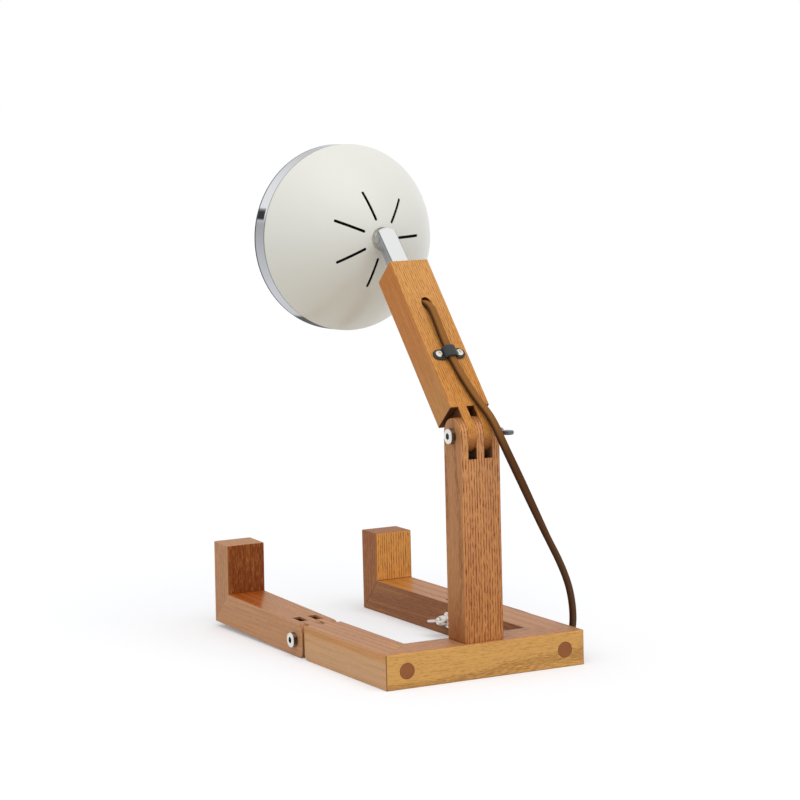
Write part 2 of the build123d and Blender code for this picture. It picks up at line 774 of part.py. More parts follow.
# ... then free, out behind the post and down past the right side rail into the switch
cord_drop_route = [
    (-11.0, 12.0, 188.6), (-12.0, 25.6, 171.9), (-19.8, 35.0, 147.8), (-29.8, 37.0, 124.2),
    (-42.9, 33.0, 100.4), (-57.2, 25.0, 81.2), (-71.0, 14.5, 60.8), (-81.6, 2.0, 41.5),
    (-90.4, -12.5, 24.0), (-94.6, -24.0, 13.6), (-96.0, -35.0, 8.4),
]
joint_gap = 0.3  # between the cord's stretch on the arm and its free stretch
switch_gap = 4.0  # between the switch and the side rail
hank_gap = 2.5
plug_gap = 2.0
cord_level = 6.8
switch_middle_x = -half_width - switch_gap - switch_wide / 2
switch_rear = -46.0
switch_front = switch_rear - switch_long
hank_rear = switch_front - 8.0
hank_front = hank_rear - hank_long
hank_outer_radius = hank_inner_radius + (hank_turns - 1) * cord_thin + cord_thin / 2
hank_middle_x = -half_width - hank_gap - hank_outer_radius
tie_rear = (hank_rear + hank_front) / 2 - 20.0
plug_front = -knee_reach - shin_length + 1.0
plug_rear = plug_front + plug_pin_long + plug_long


def corner_radii(points):
    """0.45 of the shorter run at each corner, divided by the tangent of half the turn."""
    radii = []
    for before, corner, after in zip(points, points[1:], points[2:]):
        run_in = Vector(*corner) - Vector(*before)
        run_out = Vector(*after) - Vector(*corner)
        half_turn = math.radians(run_in.get_angle(run_out) / 2)
        radii.append(0.45 * min(run_in.length, run_out.length) / math.tan(half_turn))
    return radii


def tube(name, points, dia):
    """A round cord along straight runs joined by tangent arcs; prints its radii and volume check."""
    points = [Vector(*p) for p in points]
    radii = corner_radii(points)
    path = FilletPolyline(*points, radius=radii)
    section = Plane(origin=path @ 0, z_dir=path % 0) * Circle(dia / 2)
    solid = sweep(section, path)
    share = solid.volume / (math.pi * dia ** 2 / 4 * path.length)
    print(f"{name}: length {path.length:.1f}, volume share {share:.4f}, radii", [round(r, 1) for r in radii])
    return solid


def make_cord_drop():
    start = cord_arm_route[-1]
    first = Vector(*cord_drop_route[0])
    start = start + (first - start).normalized() * joint_gap
    end = (switch_middle_x, switch_rear, cord_level)
    return tube("cord_drop", [start, *cord_drop_route, end], cord_dia)


def racetrack(radius, length):
    """A slot-shaped face along Y, centred on the hank's middle."""
    face = Rectangle(2 * radius, length - 2 * radius)
    for end in (-1, 1):
        face += Pos(0, end * (length / 2 - radius)) * Circle(radius)
    return Pos(hank_middle_x, (hank_rear + hank_front) / 2) * face


def hank_outside():
    """The wound spare length's outside: three turns wide below and two above, standing on edge."""
    upper_outer = hank_outer_radius - cord_thin
    low = Plane.XY.offset(hank_lift) * racetrack(hank_outer_radius, hank_long)
    high = Plane.XY.offset(hank_lift + cord_dia) * racetrack(upper_outer, hank_long - 2 * cord_thin)
    return extrude(low, cord_dia) + extrude(high, cord_dia)


def make_hank():
    inner = hank_inner_radius - cord_thin / 2
    hole = racetrack(inner, hank_long - 2 * (hank_outer_radius - inner))
    return hank_outside() - extrude(hole, 4 * cord_dia)


def make_tie():
    """A strap wrapped once round the middle of the hank."""
    step = hank_lift + cord_dia
    top = step + cord_dia + tie_play
    wide = hank_outer_radius + tie_play
    narrow = wide - cord_thin
    low = hank_lift
    inside = [(-wide, low), (-wide, step), (-narrow, top), (narrow, top), (wide, step), (wide, low)]
    wide += hank_lift
    narrow += hank_lift / 2
    step += tie_play * 2
    top += hank_lift
    outside = [(-wide, 0), (-wide, step), (-narrow, top), (narrow, top), (wide, step), (wide, 0)]
    band = make_face(Polyline(*outside, close=True)) - make_face(Polyline(*inside, close=True))
    place = Plane(origin=(hank_middle_x, tie_rear, 0), x_dir=(1, 0, 0), z_dir=(0, -1, 0))
    return place * extrude(band, tie_wide)


def along_cord(outline, half):
    """A shape seen along the cord, carried half a length to each side of the clip's middle."""
    start = Plane(origin=(0, half, 0), x_dir=(1, 0, 0), z_dir=(0, -1, 0))
    return extrude(start * make_face(Polyline(*outline, close=True)), 2 * half)


def on_arm_back(x, lift):
    """The plane of the arm's back face at the clip, moved across by x and outwards by lift."""
    origin = arm_plane.from_local_coords(Vector(x, half_thick + lift, clip_reach))
    return Plane(origin=origin, x_dir=(1, 0, 0), z_dir=arm_plane.y_dir)


def make_clip():
    """The moulded saddle clip: two lobes on the arm's back and a saddle over the cord."""
    rise = cord_dia + clip_play
    reach = cord_dia / 2 + clip_play
    lobes = Rectangle(clip_pitch, clip_lobe_dia * 0.82)
    for side in (-1, 1):
        lobes += Pos(side * clip_pitch / 2, 0) * Circle(clip_lobe_dia * 0.45)
    out, top, eave = reach + clip_sheet, rise + clip_sheet, rise - 1.5
    flat = reach - 0.6
    saddle = along_cord(
        [(-out, 0), (-out, eave), (-flat, top), (flat, top), (out, eave), (out, 0)], clip_wide / 2
    )
    eave = rise - 2
    flat = reach - 1.6
    tunnel = along_cord(
        [(-reach, -1), (-reach, eave), (-flat, rise), (flat, rise), (reach, eave), (reach, -1)], clip_lobe_dia
    )
    clip = on_arm_back(0, 0) * (extrude(lobes, clip_sheet) + saddle - tunnel)
    for screw in clip_screws():
        clip -= screw
    return clip


def clip_screws():
    """Two pan-head wood screws through the clip's lobes, each with a cross recess."""
    head = clip_screw_head_dia / 2
    high = clip_screw_head_high
    radius = clip_screw_dia / 2
    screw = revolved([
        (0, -clip_screw_long), (0.3, -clip_screw_long), (radius, -clip_screw_long + clip_screw_dia),
        (radius, 0), (head, 0), (head, high * 0.45), (head * 0.72, high * 0.9), (0, high),
    ])
    slot = box_between((-head / 2, -0.35, high / 2), (head / 2, 0.35, 2 * high))
    for turn in (20, 110):
        screw -= Rot(0, 0, turn) * slot
    return [on_arm_back(side * clip_pitch / 2, clip_sheet) * screw for side in (-1, 1)]


def make_arm_lead():
    """The stripped lead inside the arm: up the slanted hole and along the bracket's channel."""
    slope = math.radians(cable_hole_slope)
    inward = arm_plane.from_local_coords(Vector(0, -math.sin(slope), math.cos(slope))) - neck_pivot
    start = cord_arm_route[0]
    points = [start, start + inward * 6.5]
    points += [bracket_plane.from_local_coords(Vector(0, -tilt_offset, reach)) for reach in (-15, 26)]
    return tube("arm_lead", points, lead_dia)


def make_head_lead():
    """The lead inside the head: from between the carrier's lugs through the nipple to the core."""
    low = shade_plane.from_local_coords(Vector(0, 0, core_top))
    high = shade_plane.from_local_coords(Vector(0, 0, pivot_level - 3))
    return rod(low, high, lead_dia)


# ---- in-line switch, in its own frame: middle of its underside, long side on Y ----
def switch_shape(inset):
    long = switch_long - 2 * inset
    wide = switch_wide - 2 * inset
    body = Pos(0, 0, inset) * extrude(Rectangle(wide, long), switch_high - 2 * inset)
    body = fillet(body.edges().filter_by(Axis.Z), 6.0 - inset)
    return fillet(body.faces().sort_by(Axis.Z)[-1].edges(), 2.6 - inset)


def in_switch(piece):
    return Pos(switch_middle_x, (switch_rear + switch_front) / 2, 0) * piece


rocker_level = switch_high - 3.4
rocker_radius = rocker_long / 2
rib_inner = rocker_wide / 2 + 0.25
rib_thick = 1.3
switch_screw_y = switch_long / 2 - 13.0


def switch_halves():
    """The two moulded halves, parted at switch_split, with half-round cord entries."""
    shell = switch_shape(0) - switch_shape(switch_wall)
    entry = Rot(90, 0, 0) * Cylinder(cord_dia / 2 + switch_entry_play, 2 * switch_long)
    shell -= Pos(0, 0, cord_level) * entry
    far = 2 * switch_long
    lower = shell & box_between((-far, -far, -1), (far, far, switch_split))
    upper = shell & box_between((-far, -far, switch_split), (far, far, far))
    window_half = rocker_radius + 0.4
    upper -= box_between((-rib_inner, -window_half, rocker_level - 5), (rib_inner, window_half, far))
    for side in (-1, 1):
        inner, outer = sorted((side * rib_inner, side * (rib_inner + rib_thick)))
        rib = box_between((inner, -3, rocker_level - 2.2), (outer, 3, switch_high - 1.0))
        axle_hole = Rot(0, 90, 0) * Cylinder(rocker_axle_dia / 2 + pivot_play, switch_wide)
        rib -= Pos(0, 0, rocker_level) * axle_hole
        upper += rib
    boss = extrude(Circle(2.4), switch_high - 2 * switch_wall + 0.1)
    post = Pos(0, switch_screw_y, switch_wall - 0.05) * boss
    upper += post & box_between((-far, -far, switch_split), (far, far, far))
    lower += post & box_between((-far, -far, -1), (far, far, switch_split))
    hole = switch_screw()
    return lower - hole, upper - hole


def switch_screw():
    """The countersunk screw that holds the halves together, driven in from below."""
    tip = switch_high - 4
    return Pos(0, switch_screw_y, 0) * revolved([(0, 0.4), (2.2, 0.4), (1.1, 1.6), (1.1, tip), (0, tip)])


def make_rocker():
    """The rocker, drawn level and then tilted to its off position; its two top facets meet in a low V."""
    half = rocker_radius
    drum = Rot(0, 90, 0) * Cylinder(half, rocker_wide)
    top = make_face(Polyline((-half, -3.0), (half, -3.0), (half, 3.9), (0, 2.9), (-half, 3.9), close=True))
    side_plane = Plane(origin=(-rocker_wide, 0, 0), x_dir=(0, 1, 0), z_dir=(1, 0, 0))
    rocker = drum & extrude(side_plane * top, 2 * rocker_wide)
    rocker += Rot(0, 90, 0) * Cylinder(rocker_axle_dia / 2, rocker_wide + 2 * rib_thick)
    return Pos(0, 0, rocker_level) * Rot(-rocker_tilt, 0, 0) * rocker


def make_terminals():
    """Two screw terminals side by side at the front end of the switch."""
    half, top = 1.8, 3.6
    front = -switch_long / 2 + 8
    return [box_between((x - half, front, switch_wall), (x + half, front + 10, top)) for x in (-2.9, 2.9)]


# ---- plug ----
def make_plug_body():
    """A flat two-pin plug with a six-sided face that tapers back to the cord."""
    level = plug_high / 2
    flat = plug_wide * 0.28
    half = plug_wide / 2
    face = make_face(Polyline(
        (-half, 0), (-flat, level), (flat, level), (half, 0), (flat, -level), (-flat, -level), close=True,
    ))
    sections = []
    for back, narrowing, flattening in ((0, 1, 1), (0.45, 0.92, 1), (1, 0.34, 0.72)):
        place = Plane(origin=(0, back * plug_long, 0), x_dir=(1, 0, 0), z_dir=(0, 1, 0))
        sections.append(place * scale(face, (narrowing, flattening, 1)))
    return in_plug(loft(sections, ruled=True))


def in_plug(piece):
    return Pos(plug_middle_x, plug_front + plug_pin_long, plug_high / 2) * piece


plug_middle_x = -half_width - plug_gap - plug_wide / 2


def plug_pins():
    pins = []
    for x in (-plug_pin_pitch / 2, plug_pin_pitch / 2):
        pin = rod((x, plug_pin_root, 0), (x, -plug_pin_long, 0), plug_pin_dia)
        pins.append(in_plug(pin))
    return pins


# ---- everything, node by node ----
def build_nodes():
    """Returns each node's name with its solids."""
    nodes = {}
    left, right = 1, -1
    nodes["rear_rail"] = make_rear_rail()
    nodes["corner_dowels"] = [corner_dowel(left), corner_dowel(right)]
    nodes["post"] = make_post()
    nodes["post_screws"] = post_screws()
    nodes["post_pin"] = post_pin()
    for name, side in (("left", left), ("right", right)):
        knee = (side * leg_middle, -knee_reach, knee_height)
        nodes[f"{name}_side_rail"] = make_side_rail(side)
        nodes[f"{name}_shin"] = lifted(make_shin(side), shin_lift[name], knee)
        nodes[f"{name}_foot"] = lifted(make_foot(side), shin_lift[name], knee)
        nodes[f"{name}_knee_bolt"] = at_joint(make_bolt(), side, knee)
        nodes[f"{name}_knee_washer"] = at_joint(make_washer(), side, knee)
        nodes[f"{name}_knee_wing_nut"] = at_joint(make_wing_nut(wing_angles[name]), side, knee)
    nodes["neck_bolt"] = at_joint(make_bolt(), left, neck_pivot)
    nodes["neck_washer"] = at_joint(make_washer(), left, neck_pivot)
    nodes["neck_wing_nut"] = at_joint(make_wing_nut(wing_angles["neck"]), left, neck_pivot)

    nodes["arm"] = make_arm()
    nodes["neck_bracket"] = make_bracket()
    nodes["bracket_screws"] = bracket_screws()
    nodes["tilt_pins"] = make_tilt_pins()
    nodes["cord_clip"] = make_clip()
    nodes["clip_screws"] = clip_screws()
    nodes["arm_lead"] = make_arm_lead()

    nodes["shade"] = make_shade()
    nodes["rim_band"] = make_band()
    nodes["shade_carrier"] = make_carrier()
    nodes["vent_baffle"] = make_baffle()
    nodes["nipple"] = make_nipple()
    nodes["lock_nut"] = make_lock_nut()
    nodes["holder_cap"] = make_holder_cap()
    nodes["holder_skirt"] = make_holder_skirt()
    nodes["holder_core"] = make_holder_core()
    nodes["holder_thread"] = make_thread_shell()
    nodes["holder_contact"] = make_centre_contact()
    nodes["bulb_cap"] = make_bulb_cap()
    nodes["bulb_contact"] = make_bulb_contact()
    nodes["bulb_globe"] = make_globe()
    nodes["head_lead"] = make_head_lead()

    nodes["cord_on_arm"] = tube("cord_on_arm", cord_arm_route, cord_dia)
    nodes["cord_drop"] = make_cord_drop()
    nodes["cord_hank"] = make_hank()
    nodes["cord_tie"] = make_tie()
    link_end = (switch_middle_x, hank_rear - hank_outer_radius, cord_level)
    nodes["cord_link"] = rod((switch_middle_x, switch_front, cord_level), link_end, cord_dia) - hank_outside()
    tail_start = (plug_middle_x, hank_front + hank_outer_radius, plug_high / 2)
    nodes["cord_tail"] = rod(tail_start, (plug_middle_x, plug_rear, plug_high / 2), cord_dia) - hank_outside()

    lower, upper = switch_halves()
    nodes["switch_base"] = in_switch(lower)
    nodes["switch_cover"] = in_switch(upper)
    nodes["switch_screw"] = in_switch(switch_screw())
    nodes["switch_rocker"] = in_switch(make_rocker())
    nodes["switch_terminals"] = [in_switch(block) for block in make_terminals()]
    body = make_plug_body()
    for pin in plug_pins():
        body -= pin
    nodes["plug_body"] = body
    nodes["plug_pins"] = plug_pins()
    return nodes


def main():
    os.makedirs("parts", exist_ok=True)
    for name, shape in build_nodes().items():
        solids = shape if isinstance(shape, list) else shape.solids()
        solids = [one for group in solids for one in group.solids()]
        whole = solids[0] if len(solids) == 1 else Compound(children=solids)
        export_step(whole, f"parts/{name}.step")


if __name__ == "__main__":
    main()
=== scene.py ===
"""Looks of the seated robot desk lamp: oiled timber, cream enamel, bright metal and a textile cord.

Everything is in metres, +Z up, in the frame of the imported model: the feet point along -Y and the
origin is on the floor below the post. Lengths written here in millimetres pass through MM.
"""

import math

import bmesh
import bpy
import numpy as np
from mathutils import Matrix, Vector


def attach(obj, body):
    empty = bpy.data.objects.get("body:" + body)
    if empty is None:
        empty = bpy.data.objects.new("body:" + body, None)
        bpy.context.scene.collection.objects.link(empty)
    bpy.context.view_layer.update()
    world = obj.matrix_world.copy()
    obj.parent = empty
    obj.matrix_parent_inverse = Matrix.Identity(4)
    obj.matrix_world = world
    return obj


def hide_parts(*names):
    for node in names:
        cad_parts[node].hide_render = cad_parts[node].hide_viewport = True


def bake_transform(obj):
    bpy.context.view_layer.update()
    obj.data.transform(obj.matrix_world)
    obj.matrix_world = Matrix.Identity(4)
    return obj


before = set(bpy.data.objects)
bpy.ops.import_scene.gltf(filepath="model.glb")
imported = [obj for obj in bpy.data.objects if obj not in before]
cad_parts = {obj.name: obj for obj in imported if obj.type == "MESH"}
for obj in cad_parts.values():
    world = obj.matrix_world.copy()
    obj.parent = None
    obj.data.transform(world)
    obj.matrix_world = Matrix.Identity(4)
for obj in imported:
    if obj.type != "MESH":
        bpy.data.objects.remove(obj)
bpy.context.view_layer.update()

MM = 0.001
TURN = 2 * math.pi


# ---- places that the pieces share, in millimetres ----
ARM_LEAN = math.radians(41.4)
NECK_HEIGHT = 176.5
HALF_THICK = 13.0
HALF_STOCK = 16.0
HALF_WIDTH = 82.7
KNEE_REACH = 133.5
KNEE_HEIGHT = 13.0
TOE_REACH = 279.0
NECK_NUT_SEAT = -17.3
KNEE_NUT_SEAT = 49.4
ARM_UP = np.array([0.0, -math.sin(ARM_LEAN), math.cos(ARM_LEAN)])
ARM_BACK = np.array([0.0, math.cos(ARM_LEAN), math.sin(ARM_LEAN)])
SHADE_DIP = math.radians(1.0)
SHADE_AXIS = np.array([0.0, math.cos(SHADE_DIP), math.sin(SHADE_DIP)])
RIM_CENTRE = np.array([0.0, -188.4577, 311.2783])
CLIP_REACH = 62.5
BAND_LONG = 18.5

X, Y, Z = (1.0, 0.0, 0.0), (0.0, 1.0, 0.0), (0.0, 0.0, 1.0)
LEFT, REAR, UP = X, Y, Z


def on_arm(x, lift, reach):
    """A point of the arm: across, above its back face and up from the neck's pivot."""
    return np.array([x, 0.0, NECK_HEIGHT]) + ARM_BACK * (HALF_THICK + lift) + ARM_UP * reach


# ---- shader expressions ----
class Wire:
    """A shader socket that can stand in sums, differences, products and powers."""

    def __init__(self, paint, socket):
        self.paint = paint
        self.socket = socket

    def __add__(self, other):
        return self.paint.math("ADD", self, other)

    def __sub__(self, other):
        return self.paint.math("SUBTRACT", self, other)

    def __rsub__(self, other):
        return self.paint.math("SUBTRACT", other, self)

    def __mul__(self, other):
        return self.paint.math("MULTIPLY", self, other)

    def __truediv__(self, other):
        return self.paint.math("DIVIDE", self, other)

    __radd__ = __add__
    __rmul__ = __mul__


class Paint:
    """A material being mixed: each method adds nodes and gives back their output."""

    def __init__(self, name, **constants):
        self.material = bpy.data.materials.new(name)
        self.material.use_nodes = True
        self.tree = self.material.node_tree
        self.surface = self.tree.nodes["Principled BSDF"]
        self.finish(**constants)

    def feed(self, socket, value):
        if isinstance(value, Wire):
            self.tree.links.new(value.socket, socket)
        elif socket.type == "RGBA":
            socket.default_value = (*value, 1.0)
        else:
            socket.default_value = value

    def node(self, kind, settings, sockets, output=0):
        """Adds a node: first its settings, then the values or links of its sockets."""
        made = self.tree.nodes.new("ShaderNode" + kind)
        for key, value in settings.items():
            if key == "stops":
                self.set_stops(made.color_ramp, value)
            else:
                setattr(made, key, value)
        for key, value in sockets.items():
            self.feed(made.inputs[key], value)
        return Wire(self, made.outputs[output])

    def set_stops(self, ramp, stops):
        for place, tone in stops[2:]:
            ramp.elements.new(place)
        for element, (place, tone) in zip(ramp.elements, sorted(stops)):
            element.position = place
            element.color = (tone, tone, tone, 1.0)

    def math(self, operation, *parts, clamp=False):
        return self.node("Math", {"operation": operation, "use_clamp": clamp}, dict(enumerate(parts)))

    def clamped(self, value):
        return self.math("ADD", value, 0.0, clamp=True)

    def place(self):
        """The point being shaded, in millimetres of the lamp's frame."""
        here = self.node("TexCoord", {}, {}, output="Object")
        return self.node("VectorMath", {"operation": "SCALE"}, {0: here, "Scale": 1 / MM})

    def facing(self, direction):
        """Cosine between the surface's normal and a fixed direction of the lamp."""
        normal = self.node("TexCoord", {}, {}, output="Normal")
        return self.dot(normal, direction)

    def faces(self, direction, sharp=4.0):
        """1 on the side that faces a direction, 0 on the others, blended over its eased edges."""
        return self.clamped((self.facing(direction) - 0.6) * sharp)

    def dot(self, vector, direction):
        sockets = {0: vector, 1: tuple(direction)}
        return self.node("VectorMath", {"operation": "DOT_PRODUCT"}, sockets, output=1)

    def vector(self, x, y, z):
        return self.node("CombineXYZ", {}, {0: x, 1: y, 2: z})

    def noise(self, vector, scale, detail=2.0, roughness=0.5):
        return self.node(
            "TexNoise", {}, {"Vector": vector, "Scale": scale, "Detail": detail, "Roughness": roughness}
        )

    def ramp(self, value, *stops):
        return self.node("ValToRGB", {"stops": stops}, {0: value})

    def mix(self, first, second, share):
        """Colour: first at share 0, second at share 1."""
        return self.node("Mix", {"data_type": "RGBA"}, {0: share, 6: first, 7: second}, output=2)

    def bump(self, height, distance, strength=1.0):
        return self.node("Bump", {}, {"Height": height, "Distance": distance, "Strength": strength})

    def finish(self, **inputs):
        for key, value in inputs.items():
            self.feed(self.surface.inputs[key.replace("_", " ")], value)
        return self.material


def linear(red, green, blue):
    """The linear colour of a screen colour given in 0 to 255."""
    shares = [c / 255 for c in (red, green, blue)]
    return tuple(s / 12.92 if s <= 0.04045 else ((s + 0.055) / 1.055) ** 2.4 for s in shares)


def wear(node, material):
    """Puts a material on a CAD node, in place of the one it came with."""
    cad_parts[node].data.materials[0] = material


# ---- timber ----
ROSY = linear(175, 125, 88)
TAN = linear(206, 160, 116)
GOLD = linear(217, 165, 92)
AMBER = linear(206, 132, 56)
RUSSET = linear(193, 120, 52)
UMBER = linear(146, 89, 48)
PORE = linear(112, 58, 28)
GLUE = linear(92, 48, 26)
KNUCKLE_SHADE = linear(52, 22, 10)
GOLD_STREAK = linear(226, 160, 84)

# Where painted shade darkens the insides of a knuckle: two distances from its pivot along the grain, and
# a half width.
BETWEEN_FINGERS = (-17.0, -8.0, 10.2)
BETWEEN_TONGUES = (8.0, 17.0, 16.5)


def knuckle_shade_share(paint, place, along, pivot, thick_way, start, end, half_wide):
    """1 deep inside a knuckle, where its painted shade lies, 0 outside: between two distances from its
    pivot along the grain, within a half width of it across X, and just below the board's two faces
    along thick_way."""
    pivot, thick_way = np.array(pivot), np.array(thick_way)
    middle, half_long = (start + end) / 2, (end - start) / 2
    off_middle = paint.math("ABSOLUTE", paint.dot(place, along) - float(pivot @ along) - middle)
    off_x = paint.math("ABSOLUTE", paint.dot(place, X) - float(pivot[0]))
    off_face = paint.math("ABSOLUTE", paint.dot(place, thick_way) - float(pivot @ thick_way))
    share = paint.clamped((half_long - off_middle) / 0.5)
    share = share * paint.clamped((half_wide - off_x) / 0.3)
    return share * paint.clamped((HALF_THICK - 0.7 - off_face) / 0.5)


def timber(
    name, seed, along, across, pith, pitch, marks, body,
    faces=(), quiet=(), seams=(), painted_glows=(), hollow=None,
):
    """Oiled ring-porous timber. Rings are cylinders round a pith line that runs along the grain, and
    each ring starts with a band of open pores, short dark streaks along the grain. marks gives how
    strongly rings, pores, flecks and fibre show; faces gives a direction and the tone of the sides
    that face it, which is painted shade on the far leg's inner sides; quiet a direction and how much
    its marks fade; seams the glued joints as a normal and its distance; and painted_glows painted
    light and shade, each a direction, an axis with two distances along it, a tone and how strongly it
    shows. hollow is where painted shade lies deep inside a knuckle, as in knuckle_shade_share."""
    paint = Paint("timber_" + name, Specular_IOR_Level=0.2)
    along = np.array(along, float)
    across = np.array(across, float)
    third = np.cross(along, across)
    place = paint.place()
    u = paint.dot(place, along) + seed * 100.0
    v = paint.dot(place, across) - pith[0]
    w = paint.dot(place, third) - pith[1]

    def grain(along_scale, across_scale, detail=2.0, roughness=0.5):
        """Noise that is drawn out along the grain."""
        where = paint.vector(u * along_scale, v * across_scale, w * across_scale)
        return paint.noise(where, 1.0, detail, roughness)

    drift = grain(0.004, 0.02, 1.0) - 0.5
    sway = grain(0.03, 0.2) - 0.5
    radius = paint.math("SQRT", v * v + w * w) + drift * 7.0 + sway * 0.8
    phase = paint.math("FRACT", radius / pitch)
    early = paint.ramp(phase, (0.0, 0.8), (0.10, 1.0), (0.34, 0.2), (0.6, 0.0), (0.92, 0.0), (1.0, 0.8))
    streak = grain(0.17, 1.25, 2.0, 0.6)
    pores = paint.ramp(streak + early * 0.24, (0.60, 0.0), (0.74, 1.0))
    fleck = grain(0.20, 1.9, 3.0, 0.62)
    fibre = grain(0.02, 1.6, 3.0, 0.6)
    broad = grain(0.008, 0.22)
    tone = body
    for direction, face_tone in faces:
        tone = paint.mix(tone, face_tone, paint.faces(direction))
    # painted light and shade: a tone faded in along an axis on the sides that face a direction
    for direction, axis, start, end, painted_glow_tone, amount in painted_glows:
        share = paint.clamped((paint.dot(place, axis) - start) / (end - start))
        tone = paint.mix(tone, painted_glow_tone, share * paint.faces(direction) * amount)
    shown = 1.0
    for direction, amount in quiet:
        shown = shown - paint.faces(direction) * amount
    tone = paint.mix(tone, GOLD_STREAK, paint.clamped((broad - 0.5) * marks["broad"]))
    tone = paint.mix(tone, PORE, early * shown * marks["rings"])
    tone = paint.mix(tone, PORE, paint.clamped((fibre - 0.48) * marks["fibre"]))
    tone = paint.mix(tone, GOLD_STREAK, paint.clamped((0.47 - fleck) * marks["flecks"]))
    tone = paint.mix(tone, PORE, paint.clamped((fleck - 0.5) * marks["flecks"]))
    tone = paint.mix(tone, PORE, pores * shown * marks["pores"])
    bright = paint.ramp(streak, (0.28, 1.0), (0.44, 0.0))
    tone = paint.mix(tone, GOLD_STREAK, bright * shown * marks["pores"] * 0.7)
    end_grain = paint.math("ABSOLUTE", paint.facing(along))
    tone = paint.mix(tone, UMBER, paint.clamped((end_grain - 0.6) * 2.0) * 0.7)
    for normal, distance in seams:
        off_plane = paint.math("ABSOLUTE", paint.dot(place, normal) - distance)
        line = paint.clamped(1.3 - off_plane / 0.45)
        tone = paint.mix(tone, GLUE, line * (1.0 - paint.faces(UP)) * 0.8)
    # painted shade deep inside a knuckle
    if hollow is not None:
        tone = paint.mix(tone, KNUCKLE_SHADE, knuckle_shade_share(paint, place, along, *hollow) * 0.85)
    relief = paint.bump((1.0 - pores * shown) * 0.8 + fleck * 0.3, 0.00014, 0.6)
    return paint.finish(Base_Color=tone, Roughness=0.42 + pores * 0.2 + fleck * 0.1, Normal=relief)


def marks(rings, pores, flecks, fibre, broad=1.0):
    return dict(rings=rings, pores=pores, flecks=flecks, fibre=fibre, broad=broad)


def toe_mitre():
    """The mitre between the right shin and its foot: a plane through the toe's lower edge at 45
    degrees, given as its normal and distance from the origin."""
    normal = np.array([0.0, math.sqrt(0.5), -math.sqrt(0.5)])
    return tuple(normal), float(normal @ np.array([0.0, -TOE_REACH, 0.0]))


def corner_mitre(side):
    """The mitre between the rear rail and a side rail, through the frame's outer corner."""
    normal = np.array([side * math.sqrt(0.5), -math.sqrt(0.5), 0.0])
    return tuple(normal), float(normal @ np.array([side * HALF_WIDTH, HALF_STOCK, 0.0]))


